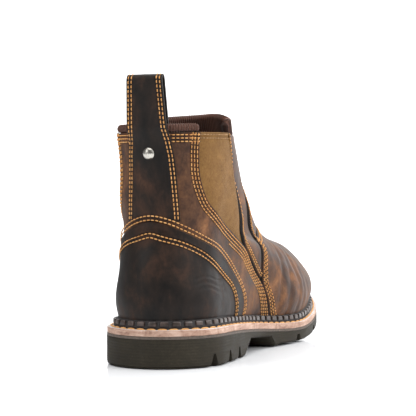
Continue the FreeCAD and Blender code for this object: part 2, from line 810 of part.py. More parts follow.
# Outsole, side view: heel block, breast, waist and sprung tread.
HEEL_BREAST = [(91, 0), (107, 11.6)]
WAIST_END = (149, 8.4)
TREAD = [(155, 1.2), (169, 0.3), (184, 0.1), (202, 0.5), (222, 1.7), (250, 5.4), (282, 11.6), (318, 21)]
TREAD_GROOVES = (168, 304)
HEEL_NOTCHES = [29, 54, 76]
HEEL_GROOVES = [18, 36, 54, 72]
HEEL_GROOVE_HALF = 26.0


def side_view(points):
    return [(placed(x, 0, z).x, placed(x, 0, z).z) for x, z in points]


def add_outsole(top_offset):
    body = new_body("outsole")
    profile = new_sketch(body, "XZ_Plane", "profile")
    top = through(welt_line(top_offset))
    tread = through(side_view(TREAD))
    corners = side_view([(-WALL_MARGIN, 0)] + HEEL_BREAST + [WAIST_END])
    corners = [V(x, z, 0) for x, z in corners] + [tread.StartPoint]
    add_loop(profile, [top, tread, Part.LineSegment(top.StartPoint, corners[0]),
                       Part.LineSegment(tread.EndPoint, top.EndPoint)])
    add_loop(profile, [Part.LineSegment(p, q) for p, q in zip(corners, corners[1:])])
    pad_across(body, profile)
    trim_to_outline(body, SOLE_REACH)

    grooves = new_sketch(body, "XZ_Plane", "tread_lines")
    tread_height = Spline([x for x, _ in TREAD], [z for _, z in TREAD])
    width, depth = size("groove_width"), size("groove_depth")
    start, end = (placed(x, 0, 0).x for x in TREAD_GROOVES)
    count = int((end - start) / size("groove_pitch")) + 1
    for i in range(count):
        x = start + i * size("groove_pitch")
        ground = tread_height(x / STRETCH_X + DRAWN_LENGTH / 2) * STRETCH_Z
        add_loop(grooves, polygon([(x - width / 2, -depth), (x + width / 2, -depth),
                                   (x + width / 3, ground + depth), (x - width / 3, ground + depth)]))
    cut = body.newObject("PartDesign::Pocket", "tread_grooves")
    cut.Profile = grooves
    cut.SideType = "Symmetric"
    cut.setExpression("Length", PAST_BOTH_SIDES)

    notches = new_sketch(body, "XY_Plane", "notch_plan")
    row = sole_outline(SOLE_REACH)
    for x in HEEL_NOTCHES:
        half = size("notch_width") / 2
        sides = [placed(p[0], p[1], 0).y for p in row if abs(p[0] - x) < 3]
        centre = placed(x, 0, 0).x
        for wall in (min(sides), max(sides)):
            outward = math.copysign(1, wall)
            near, far = sorted((wall - outward * size("notch_depth"), wall + outward * WALL_MARGIN))
            add_loop(notches, rectangle(centre - half, near, centre + half, far))
    cut = body.newObject("PartDesign::Pocket", "heel_notches")
    cut.Profile = notches
    cut.Reversed = True
    cut.setExpression("Length", "sizes.notch_height")

    lines = new_sketch(body, "XY_Plane", "heel_lines")
    for x in HEEL_GROOVES:
        at = placed(x, 0, 0)
        add_loop(lines, rectangle(at.x - width / 2, -HEEL_GROOVE_HALF, at.x + width / 2, HEEL_GROOVE_HALF))
    cut = body.newObject("PartDesign::Pocket", "heel_grooves")
    cut.Profile = lines
    cut.Reversed = True
    cut.setExpression("Length", "sizes.groove_depth")


def add_sole_unit():
    clear = GAP / 2
    welt_low = -size("welt_thickness")
    midsole_low = welt_low - clear - size("midsole_thickness")
    add_outsole(midsole_low - clear)
    add_layer("midsole", midsole_low, welt_low - clear, MIDSOLE_REACH)
    add_layer("welt", welt_low, 0.0, WELT_REACH, WELT_INNER_REACH)
    add_layer("cork_filler", welt_low + clear, 0.0, FILLER_REACH)
    add_layer("storm_rand", clear, clear + size("rand_height"), RAND_REACH, RAND_INNER_REACH)
    steel_top = clear + size("steel_plate")
    board_top = steel_top + clear + size("board_thickness")
    add_layer("steel_midsole", clear, steel_top, PLATE_REACH)
    add_layer("insole_board", steel_top + clear, board_top, PLATE_REACH)
    add_layer("footbed", board_top + clear, board_top + clear + size("footbed_thickness"), PLATE_REACH)


def add_welt_stitching():
    """One thread round the welt, seen as a row of short stitches."""
    row = [placed(x, y, welt_top(x)) for x, y in sole_outline(STITCH_REACH)]
    row.append(row[0])
    run = [0.0]
    for p, q in zip(row, row[1:]):
        run.append(run[-1] + (q - p).Length)
    count = round(run[-1] / size("stitch_pitch"))
    length, width, height = size("stitch_length"), size("thread_width"), size("thread_height")
    stitches = []
    for i in range(count):
        start = V(*at_length([tuple(p) for p in row], run, run[-1] * i / count))
        ahead = V(*at_length([tuple(p) for p in row], run, run[-1] * (i + 0.5) / count))
        along = (ahead - start).normalize()
        stitch = Part.makeBox(length, width, height, V(-length / 2, -width / 2, 2 * GAP))
        across = V(0, 0, 1).cross(along).normalize()
        stitch.Placement = FreeCAD.Placement(start, FreeCAD.Rotation(along, across, V(0, 0, 1), "XZY"))
        stitches.append(stitch)
    add_shape("welt_stitching", Part.makeCompound(stitches))


def add_rivet():
    """Domed rivet through the back of the shaft, and the burr it is clenched over inside."""
    outside = at_depth(0.0, RIVET_T, OVERLAY[0] + GAP)
    inside = at_depth(0.0, RIVET_T, TAB[1] - size("burr_seat"))
    along_inward = FreeCAD.Rotation(V(1, 0, 0), RIVET_INWARD)
    dome, radius, shank = size("rivet_dome"), size("rivet_diameter") / 2, size("rivet_shank") / 2
    burr = size("burr_thickness")
    reach = (inside - outside).Length + burr

    cap = new_body("rivet_cap")
    profile = new_sketch(cap, "XZ_Plane", "profile")
    crown, rim = V(-dome, 0, 0), V(0, radius, 0)
    dome_radius = (radius ** 2 + dome ** 2) / (2 * dome)
    half_angle = math.asin(radius / dome_radius) / 2
    shoulder = V(dome_radius - dome - dome_radius * math.cos(half_angle), dome_radius * math.sin(half_angle), 0)
    corners = [rim, V(0, shank, 0), V(reach, shank, 0), V(reach, 0, 0), crown]
    profile.addGeometry(Part.Arc(crown, shoulder, rim))
    add_loop(profile, [Part.LineSegment(p, q) for p, q in zip(corners, corners[1:])])
    turn = cap.newObject("PartDesign::Revolution", "turn")
    turn.Profile = profile
    turn.ReferenceAxis = (profile, ["H_Axis"])
    turn.Angle = 360
    cap.Placement = FreeCAD.Placement(outside, along_inward)

    ring = new_body("rivet_burr")
    section = new_sketch(ring, "XZ_Plane", "section")
    outer, bore = size("burr_diameter") / 2, shank + GAP / 2
    add_loop(section, rectangle(0, bore, burr, outer))
    turn = ring.newObject("PartDesign::Revolution", "turn")
    turn.Profile = section
    turn.ReferenceAxis = (section, ["H_Axis"])
    turn.Angle = 360
    ring.Placement = FreeCAD.Placement(inside, along_inward)


def add_pull_loop():
    """Folded strap above the collar, which leans and folds about the collar's top."""
    body = new_body("pull_loop")
    profile = new_sketch(body, "XZ_Plane", "profile")
    foot, top = size("loop_depth") / 2, size("loop_top_depth") / 2
    lift, wall = size("loop_lift"), size("strap_thickness")
    rise = size("loop_height") - top
    for half_foot, half_top in ((foot, top), (foot - wall, top - wall)):
        left, right = V(-half_foot, lift, 0), V(half_foot, lift, 0)
        left_top, right_top = V(-half_top, rise, 0), V(half_top, rise, 0)
        crown = V(0, rise + half_top, 0)
        add_loop(profile, [Part.LineSegment(left, left_top), Part.Arc(left_top, crown, right_top),
                           Part.LineSegment(right_top, right)])
    for side in (-1, 1):
        profile.addGeometry(Part.LineSegment(V(side * foot, lift, 0), V(side * (foot - wall), lift, 0)))
    pad = body.newObject("PartDesign::Pad", "pad")
    pad.Profile = profile
    pad.SideType = "Symmetric"
    pad.setExpression("Length", "sizes.strap_width")
    collar_t = locate(BACK_REACH, COLLAR_TOP)[1]
    middle = (OVERLAY[0] + TAB[1]) / 2
    hinge = at_depth(0.0, collar_t, middle)
    tilt = FreeCAD.Rotation(V(0, 1, 0), -size("loop_tilt"))
    body.Placement = FreeCAD.Placement(hinge, tilt)


add_sole_unit()
add_welt_stitching()
add_quarters()
add_vamp()
add_toe_cap()
add_heel()
add_straps()
add_collar()
add_gussets()
add_front_shaft()
add_rivet()
add_pull_loop()
DOC.recompute()

for item in DOC.Objects:
    if "Invalid" in item.State or "Error" in item.State:
        raise RuntimeError("%s did not recompute: %s" % (item.Name, item.State))

os.makedirs("parts", exist_ok=True)
for part in PARTS:
    shape = part.Shape
    if shape.isNull() or not shape.isValid() or not shape.Solids:
        raise RuntimeError("%s has no valid solid" % part.Label)
    shape.exportStep("parts/%s.step" % part.Label)
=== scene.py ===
import math

import bpy
import numpy as np
from mathutils import Matrix, Vector, noise


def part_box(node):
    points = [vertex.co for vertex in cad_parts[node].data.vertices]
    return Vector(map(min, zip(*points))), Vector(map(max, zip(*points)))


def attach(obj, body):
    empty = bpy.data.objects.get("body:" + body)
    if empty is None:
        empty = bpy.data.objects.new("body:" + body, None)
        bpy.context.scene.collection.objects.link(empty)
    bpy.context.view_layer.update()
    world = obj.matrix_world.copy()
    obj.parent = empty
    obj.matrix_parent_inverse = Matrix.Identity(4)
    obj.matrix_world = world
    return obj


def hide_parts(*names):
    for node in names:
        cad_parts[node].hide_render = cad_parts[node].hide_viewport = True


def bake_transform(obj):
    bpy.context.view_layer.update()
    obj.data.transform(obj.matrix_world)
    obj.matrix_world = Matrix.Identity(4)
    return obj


# Steel toe work boot. X runs from heel to toe, Y towards the inner (medial) side and Z up.
# Shapes are worked out in millimetres and stored in metres. The upper is one surface of closed rings:
# a place on it is (u, t), with u 0 at the back, 1 at the front by the outer side and 2 back again, and
# t 0 at the welt and 1 above the collar. A depth is the distance outwards from that surface.

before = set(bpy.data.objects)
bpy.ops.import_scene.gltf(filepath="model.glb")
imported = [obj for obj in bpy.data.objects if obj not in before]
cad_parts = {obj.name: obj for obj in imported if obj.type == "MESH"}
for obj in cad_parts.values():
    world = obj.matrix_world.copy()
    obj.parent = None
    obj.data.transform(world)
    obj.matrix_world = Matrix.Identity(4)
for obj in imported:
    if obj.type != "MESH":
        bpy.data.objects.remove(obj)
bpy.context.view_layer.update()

MM = 0.001
DRAWN_LENGTH = 312.0

# ------------------------------------------------------------------ the surface of the upper

WELT_TOP = np.array([(0, 27.3), (45, 26.8), (90, 24.4), (130, 20.9), (170, 17.3), (205, 16.6),
                     (240, 20), (275, 26.5), (312, 35.5)])

# Back x and z, front x and z, heel half width out and in, back rounding, ball half width out and in,
# front rounding and its squareness, waist half width out and in, share of the welt's height.
RINGS = np.array([
    (9.0, 27.3, 301, 27.3, 34.0, 34.0, 40, 48.0, 47.0, 100, 2.35, 33.0, 26.0, 1.0),
    (6.0, 45.8, 304, 43.2, 37.4, 37.2, 42, 54.2, 53.4, 102, 2.35, 39.0, 33.5, 0.8),
    (7.2, 64.1, 300, 55.1, 35.2, 35.2, 42, 49.8, 50.2, 104, 2.3, 37.6, 35.2, 0.35),
    (10.0, 78.2, 290.5, 65.8, 34.8, 34.8, 42, 42.4, 42.6, 109, 2.2, 38.0, 36.6, 0.1),
    (12.0, 86.7, 276, 73.2, 34.9, 34.9, 43, 37.2, 37.4, 114, 2.1, 38.2, 37.2, 0.0),
    (13.3, 93.7, 256, 77.4, 35.3, 35.3, 44, 33.4, 33.6, 116, 2.05, 38.5, 37.9, 0.0),
    (14.3, 100.6, 236, 81.4, 36.3, 36.3, 45, 30.8, 30.8, 108, 2.0, 39.3, 38.6, 0.0),
    (14.9, 110.6, 214, 89.5, 38.1, 38.1, 46, 29.3, 29.3, 90, 2.0, 40.3, 39.8, 0.0),
    (14.9, 124.6, 190, 104.2, 40.6, 41.0, 48, 31.1, 31.1, 80, 2.0, 41.6, 41.6, 0.0),
    (14.0, 139.6, 163, 124.1, 41.4, 42.2, 52, 33.0, 33.0, 68, 2.0, 41.9, 42.2, 0.0),
    (12.1, 154.7, 141.5, 148.3, 42.1, 43.1, 56, 35.5, 35.8, 62, 2.0, 42.1, 42.8, 0.0),
    (9.5, 167.8, 128.5, 170.6, 42.7, 43.7, 58, 36.8, 37.2, 60, 2.0, 42.7, 43.4, 0.0),
    (7.4, 181.8, 121, 194.8, 42.6, 43.6, 60, 38.1, 38.4, 60, 2.0, 42.6, 43.3, 0.0),
])
# Growth of the first ring from the upper's foot (reach 0) to the edge of the sole (reach 1).
FOOT_TO_EDGE = np.array([-9.0, 0, 11.0, 0, 10.9, 10.9, 4.0, 9.2, 9.5, 4.0, 0, 9.0, 9.0, 0])
SWING_START, SWING_LENGTH, SWING = 60.0, 250.0, 9.0
BACK_REACH = 16.0


def unit(vectors):
    return vectors / np.linalg.norm(vectors, axis=-1, keepdims=True)


def ease(f):
    f = np.clip(f, 0, 1)
    return f * f * (3 - 2 * f)


def spline(knots, values, x):
    """Natural cubic spline through values at knots, read at x. Values may have several columns."""
    knots, values = np.asarray(knots, float), np.asarray(values, float)
    flat = values.reshape(len(knots), -1)
    span = np.diff(knots)
    system, turn = np.eye(len(knots)), np.zeros_like(flat)
    slope = np.diff(flat, axis=0) / span[:, None]
    for i in range(1, len(knots) - 1):
        system[i, i - 1:i + 2] = span[i - 1], 2 * (span[i - 1] + span[i]), span[i]
        turn[i] = 6 * (slope[i] - slope[i - 1])
    bend = np.linalg.solve(system, turn)
    x = np.asarray(x, float)
    i = np.clip(np.searchsorted(knots, x) - 1, 0, len(knots) - 2)
    f = ((x - knots[i]) / span[i])[..., None]
    g = 1 - f
    curve = (g ** 3 - g) * bend[i] + (f ** 3 - f) * bend[i + 1]
    result = g * flat[i] + f * flat[i + 1] + curve * (span[i] ** 2)[..., None] / 6
    return result[..., 0] if values.ndim == 1 else result


def welt_top(x):
    return spline(WELT_TOP[:, 0], WELT_TOP[:, 1], np.clip(x, 0, DRAWN_LENGTH))


def half_ring(row, side, steps=150):
    """Points of one side of a ring, from its back point to its front point, as drawn."""
    back, back_z, front, front_z = row[:4]
    heel, ball, waist = (row[5], row[8], row[12]) if side > 0 else (row[4], row[7], row[11])
    heel_round, toe_round, square, follow = row[6], row[9], row[10], row[13]
    turn = np.linspace(0, math.pi / 2, steps + 1)
    f = np.linspace(0, 1, steps + 1)[:-1]
    flat = np.where(f < 0.5, heel + (waist - heel) * ease(2 * f), waist + (ball - waist) * ease(2 * f - 1))
    nose = turn[::-1]
    across = np.sin(nose) ** (2 / square)
    ahead = np.abs(np.cos(nose)) ** (2 / square)
    x = np.concatenate([back + heel_round * (1 - np.cos(turn[:-1])),
                        back + heel_round + (front - back - heel_round - toe_round) * f,
                        front - toe_round + toe_round * ahead])
    y = np.concatenate([heel * np.sin(turn[:-1]), flat, ball * across])
    share = (x - back) / (front - back)
    z = back_z + (front_z - back_z) * share + follow * (welt_top(x) - WELT_TOP[0, 1])
    swing = SWING * np.clip((x - SWING_START) / SWING_LENGTH, 0, 1) ** 2
    return np.stack([x, side * y + swing, z], axis=1)


def run_of(points):
    return np.concatenate([[0], np.cumsum(np.linalg.norm(np.diff(points, axis=0), axis=1))])


def at_run(points, run, lengths):
    return np.stack([np.interp(lengths, run, column) for column in points.T], axis=-1)


def heading(line, run, lengths, reach):
    """Direction of a line at places along it, taken over a reach to each side."""
    before, after = (at_run(line, run, np.clip(lengths + step, 0, run[-1])) for step in (-reach, reach))
    return unit(after - before)


def sole_outline(reach, count=None):
    """Closed plan outline from the upper's foot (0) to the sole's edge (1), evenly divided in count."""
    row = RINGS[0] + FOOT_TO_EDGE * reach
    loop = np.concatenate([half_ring(row, -1), half_ring(row, 1)[-2:0:-1]])[:, :2]
    if count is None:
        return loop
    closed = np.concatenate([loop, loop[:1]])
    run = run_of(closed)
    return at_run(closed, run, run[-1] * np.arange(count) / count)


EDGE = sole_outline(1.0)
MIDDLE_Y = (EDGE[:, 1].min() + EDGE[:, 1].max()) / 2
SOLE_LOW, SOLE_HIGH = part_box("outsole")
STRETCH_X = (SOLE_HIGH.x - SOLE_LOW.x) / MM / DRAWN_LENGTH
STRETCH_Y = (SOLE_HIGH.y - SOLE_LOW.y) / MM / (EDGE[:, 1].max() - EDGE[:, 1].min())


def placed(points):
    """Drawn points in the boot's frame, still in millimetres."""
    x, y, z = np.moveaxis(np.asarray(points, float), -1, 0)
    return np.stack([(x - DRAWN_LENGTH / 2) * STRETCH_X, (y - MIDDLE_Y) * STRETCH_Y, z], axis=-1)


T_ROWS, U_STEPS = 301, 500
LEVELS = np.linspace(0, 1, T_ROWS)


def ring_table():
    """Drawn points of the whole upper: a row for each height t, its columns evenly spaced in u."""
    table = np.empty((T_ROWS, 2 * U_STEPS, 3))
    rows = spline(np.arange(len(RINGS)), RINGS, LEVELS * (len(RINGS) - 1))
    for k, row in enumerate(rows):
        for side in (-1, 1):
            points = half_ring(row, side)
            run = run_of(points)
            even = at_run(points, run, np.linspace(0, run[-1], U_STEPS + 1))
            if side < 0:
                table[k, :U_STEPS + 1] = even
            else:
                table[k, U_STEPS:] = even[:0:-1]
    return table


DRAWN = ring_table()
SURFACE = placed(DRAWN)
OUTER_SIDE = DRAWN[:, :U_STEPS + 1]


def surface_normals(spread_u=4, spread_t=4):
    along = np.roll(SURFACE, -spread_u, axis=1) - np.roll(SURFACE, spread_u, axis=1)
    rows = np.arange(T_ROWS)
    high, low = np.minimum(rows + spread_t, T_ROWS - 1), np.maximum(rows - spread_t, 0)
    return unit(np.cross(along, SURFACE[high] - SURFACE[low]))


NORMALS = surface_normals()


def look_up(table, u, t):
    u, t = np.broadcast_arrays(np.asarray(u, float), np.asarray(t, float))
    row, column = np.clip(t, 0, 1) * (T_ROWS - 1), (u % 2) * U_STEPS
    i = np.minimum(row.astype(int), T_ROWS - 2)
    j = column.astype(int)
    fi, fj = (row - i)[..., None], (column - j)[..., None]
    j, k = j % (2 * U_STEPS), (j + 1) % (2 * U_STEPS)
    low = table[i, j] * (1 - fj) + table[i, k] * fj
    high = table[i + 1, j] * (1 - fj) + table[i + 1, k] * fj
    return low * (1 - fi) + high * fi


def on_upper(u, t, depth=0.0):
    """Points of the upper, in millimetres in the boot's frame, moved outwards by depth."""
    depth = np.asarray(depth, float)[..., None]
    return look_up(SURFACE, u, t) + unit(look_up(NORMALS, u, t)) * depth


def locate(x, z):
    """Place (u, t) on the outer side whose side view is (x, z), as drawn."""
    heights = [np.interp(x, row[:, 0], row[:, 2]) for row in OUTER_SIDE]
    t = float(np.interp(z, heights, LEVELS))
    row = t * (T_ROWS - 1)
    i = min(int(row), T_ROWS - 2)
    shares = np.linspace(0, 1, U_STEPS + 1)
    low, high = (np.interp(x, OUTER_SIDE[k][:, 0], shares) for k in (i, i + 1))
    return float(low + (high - low) * (row - i)), t


def front_height(x):
    """Height t of the ring whose front point is at x."""
    fronts = OUTER_SIDE[::-1, -1, 0]
    return float(np.interp(x, fronts, LEVELS[::-1]))


def back_height(z):
    return locate(BACK_REACH, z)[1]


# ------------------------------------------------------------------ seams and patches

def smooth_through(knots, values, f):
    """Smooth curve through values at knots, its slopes taken from the neighbouring points."""
    knots, values, f = np.asarray(knots), np.asarray(values), np.asarray(f, float)
    last = len(knots) - 1
    index = np.arange(last + 1)
    low, high = np.maximum(index - 1, 0), np.minimum(index + 1, last)
    slopes = (values[high] - values[low]) / (knots[high] - knots[low])
    i = np.clip(np.searchsorted(knots, f) - 1, 0, last - 1)
    span = knots[i + 1] - knots[i]
    g = (f - knots[i]) / span
    rise = values[i + 1] - values[i]
    a, b = slopes[i] * span, slopes[i + 1] * span
    return values[i] + g * (a + g * (3 * rise - 2 * a - b + g * (a + b - 2 * rise)))


def curve_through(places, lengths):
    knots = np.asarray(lengths) / lengths[-1]
    us, ts = np.array(places).T
    return lambda f: (smooth_through(knots, us, f), smooth_through(knots, ts, f))


def seam(points):
    """Smooth curve in (u, t) through side-view points, run from 0 to 1 along its length."""
    return curve_through([locate(x, z) for x, z in points], run_of(np.array(points, float)))


def straight(start, end):
    return lambda f: tuple(p + (q - p) * np.asarray(f, float) for p, q in zip(start, end))


def mirrored(curve, centre=0.0):
    """The same curve on the other side of the back seam (0) or of the front (1)."""
    def other(f):
        u, t = curve(f)
        return 2 * centre - u, t
    return other


def arched(start, middle_t, centre):
    """Curve over the back (0) or front (1) to its mirror image, level as it crosses at middle_t."""
    def whole(f):
        f = np.asarray(f, float)
        rise = np.sin(math.pi * f)
        return start[0] + 2 * (centre - start[0]) * f, start[1] + (middle_t - start[1]) * rise
    return whole


def wrapped(points, back_z):
    """Smooth curve from side-view points on the outer side, over the back at back_z, to the inner side."""
    side = [locate(x, z) for x, z in points]
    places = side + [(0.0, back_height(back_z))] + [(-u, t) for u, t in reversed(side)]
    return curve_through(places, run_of(look_up(DRAWN, *np.array(places).T)))


def patch(foot, top, start, end):
    """Places inside four edge curves: foot and top run from start to end, start and end run upwards."""
    def place(a, b):
        a, b = np.broadcast_arrays(np.asarray(a, float), np.asarray(b, float))
        sides = zip(foot(a), top(a), start(b), end(b), foot(0), foot(1), top(0), top(1))
        return tuple((1 - b) * low + b * high + (1 - a) * left + a * right
                     - (1 - b) * ((1 - a) * low0 + a * low1) - b * ((1 - a) * high0 + a * high1)
                     for low, high, left, right, low0, low1, high0, high1 in sides)
    return place


def flipped(place, centre=0.0):
    """The same patch on the other side of the boot, its a still running from heel to toe."""
    def other(a, b):
        u, t = place(a, b)
        return 2 * centre - u, t
    return other


def inset(path, distance):
    """A path of (u, t) places moved sideways over the surface, to its left where distance is above 0."""
    u, t = (np.array(values, float) for values in path)
    t = np.clip(t, 0, 1)
    steps = max(2, int(abs(distance)))
    reach = 0.002
    for _ in range(steps):
        forward = np.gradient(on_upper(u, t), axis=0)
        aside = unit(np.cross(look_up(NORMALS, u, t), forward)) * (distance / steps)
        along = (on_upper(u + reach, t) - on_upper(u - reach, t)) / (2 * reach)
        high, low = np.clip(t + reach, 0, 1), np.clip(t - reach, 0, 1)
        upward = (on_upper(u, high) - on_upper(u, low)) / (high - low)[:, None]
        aa, ab, bb = (along * along).sum(1), (along * upward).sum(1), (upward * upward).sum(1)
        ca, cb = (aside * along).sum(1), (aside * upward).sum(1)
        scale = aa * bb - ab * ab
        u, t = u + (ca * bb - cb * ab) / scale, np.clip(t + (cb * aa - ca * ab) / scale, 0, 1)
    return u, t


def traced(curve, count=260, start=0.0, end=1.0):
    """Places along a curve, evenly spaced on the boot."""
    f = np.linspace(start, end, 4 * count)
    run = run_of(on_upper(*curve(f)))
    return curve(np.interp(np.linspace(0, run[-1], count), run, f))


# ------------------------------------------------------------------ meshes

def new_piece(name, points, faces, material, uv=None, marks=None, sharp=None, extra=None, extra_faces=None):
    """A mesh object from points in millimetres. uv and marks hold a value for each point, and
    extra_faces the rows of faces that take the extra material."""
    mesh = bpy.data.meshes.new(name)
    faces = np.asarray(faces)
    corners = faces.shape[1]
    mesh.vertices.add(len(points))
    mesh.vertices.foreach_set("co", (np.asarray(points) * MM).astype(np.float32).ravel())
    mesh.loops.add(faces.size)
    mesh.loops.foreach_set("vertex_index", faces.astype(np.int32).ravel())
    mesh.polygons.add(len(faces))
    mesh.polygons.foreach_set("loop_start", np.arange(0, faces.size, corners, dtype=np.int32))
    mesh.materials.append(material)
    if extra is not None:
        mesh.materials.append(extra)
        index = np.zeros(len(faces), np.int32)
        index[extra_faces] = 1
        mesh.polygons.foreach_set("material_index", index)
    mesh.update(calc_edges=True)
    if uv is not None:
        layer = mesh.uv_layers.new(name="UVMap")
        layer.data.foreach_set("uv", np.asarray(uv)[faces.ravel()].astype(np.float32).ravel())
    for mark, values in (marks or {}).items():
        attribute = mesh.attributes.new(mark, "FLOAT", "POINT")
        attribute.data.foreach_set("value", np.asarray(values).astype(np.float32).ravel())
    mesh.shade_smooth()
    if sharp is not None:
        mesh.set_sharp_from_angle(angle=math.radians(sharp))
    piece = bpy.data.objects.new(name, mesh)
    bpy.context.scene.collection.objects.link(piece)
    return piece


def grid_faces(rows, columns, wrap_rows=False, wrap_columns=False):
    """Quads over a grid of points numbered row by row."""
    i = np.arange(rows if wrap_rows else rows - 1)[:, None]
    j = np.arange(columns if wrap_columns else columns - 1)[None, :]
    ii, jj = (i + 1) % rows, (j + 1) % columns
    quads = [i * columns + j, ii * columns + j, ii * columns + jj, i * columns + jj]
    return np.stack([np.broadcast_to(q, (i.size, j.size)) for q in quads], axis=-1).reshape(-1, 4)


def nearest(points, line):
    """Distance of each point from a line given by closely spaced points."""
    flat = points.reshape(-1, 3)
    squares = (flat ** 2).sum(1)[:, None] + (line ** 2).sum(1)[None, :] - 2 * flat @ line.T
    return np.sqrt(np.maximum(squares.min(1), 0)).reshape(points.shape[:-1])


def graded(length, step, fine_low, fine_high, fine=0.5):
    """Shares from 0 to 1 of a length: step apart, and finer in a band at each end."""
    edge = [0, 0.12, 0.3, 0.55, 0.9]

    def band(width):
        return np.array(edge + list(np.arange(edge[-1] + fine, width, fine)) if width else edge[:1] + [1.0])

    low, high = band(fine_low), length - band(fine_high)[::-1]
    count = max(2, int(round((high[0] - low[-1]) / step)))
    middle = np.linspace(low[-1], high[0], count + 1)[1:-1]
    return np.concatenate([low, middle, high]) / length


def lumps(points, size, seed=0.0, octaves=3):
    """Smooth random heights from about -1 to 1, with bumps of about the given size in millimetres."""
    shift = Vector((seed * 7.3, seed * 3.1, seed * 5.7))
    flat = points.reshape(-1, 3) / size
    values = [noise.fractal(Vector(p) + shift, 1.0, 2.0, octaves) for p in flat]
    return np.array(values).reshape(points.shape[:-1])


GROOVE = 0.38
GROOVE_WIDTH = 0.75
SIDES = ("start", "end", "foot", "top")


def slab(name, place, depths, material, step=1.7, fine=(0, 0, 0, 0), rows=(), soften=0.6, relief=None,
         black_walls=True):
    """A sheet of leather or cloth over a patch, closed, with rounded edges and a groove under each row
    of stitches. fine is the width of the finely divided band at the start, end, foot and top."""
    outer, inner = depths
    share = np.linspace(0, 1, 60)
    across = run_of(on_upper(*place(share, np.full(60, 0.5))))[-1]
    upward = run_of(on_upper(*place(np.full(60, 0.5), share)))[-1]
    a = graded(across, step, fine[0], fine[1])
    b = graded(upward, step, fine[2], fine[3])
    grid_a, grid_b = np.meshgrid(a, b, indexing="ij")
    u, t = place(grid_a, grid_b)
    base = on_upper(u, t, outer)
    f = np.linspace(0, 1, 500)
    lines = [on_upper(*place(*pair), outer) for pair in ((0, f), (1, f), (f, 0), (f, 1))]
    away = {side: nearest(base, line) for side, line in zip(SIDES, lines)}
    edge = np.minimum.reduce([away[s] for s in SIDES])
    depth = np.full(u.shape, outer, float)
    if relief is not None:
        depth += relief(base, u, t) * ease(edge / 6)
    for row in rows:
        depth -= GROOVE * np.exp(-(nearest(base, on_upper(*row, outer)) / GROOVE_WIDTH) ** 2)
    roll = np.clip(soften - edge, 0, soften)
    depth -= soften - np.sqrt(soften ** 2 - roll ** 2)
    top = on_upper(u, t, depth)
    under = on_upper(u, t, inner)
    count_a, count_b = len(a), len(b)
    size = count_a * count_b
    upper_faces = grid_faces(count_a, count_b)
    index = np.arange(size).reshape(count_a, count_b)
    rim = np.concatenate([index[:-1, 0], index[-1, :-1], index[:0:-1, -1], index[0, :0:-1]])
    after = np.roll(rim, -1)
    wall = np.stack([rim, rim + size, after + size, after], axis=1)
    faces = np.concatenate([upper_faces, upper_faces[:, ::-1] + size, wall])
    points = np.concatenate([top.reshape(-1, 3), under.reshape(-1, 3)])
    uv = np.stack([grid_a * across, grid_b * upward], axis=-1).reshape(-1, 2) / 100
    visible = np.minimum.reduce([away[s] for s, band in zip(SIDES, fine) if band] or [edge])
    marks = {"edge": np.tile(visible.ravel(), 2)}
    outward = np.cross(points[upper_faces[0, 1]] - points[upper_faces[0, 0]],
                       points[upper_faces[0, 3]] - points[upper_faces[0, 0]])
    if outward @ look_up(NORMALS, u[0, 0], t[0, 0]) < 0:
        faces = faces[:, ::-1]
    # The cut walls take the near-black material.
    walls = np.arange(len(faces) - len(wall), len(faces)) if black_walls else None
    edge = BLACK_CUT_EDGE if black_walls else None
    return new_piece(name, points, faces, material, np.tile(uv, (2, 1)), marks, 60, edge, walls)


THREAD = 0.42
STITCH_SECTION = 6
STITCH_STATIONS = np.array([-0.5, -0.42, -0.25, 0.0, 0.25, 0.42, 0.5])


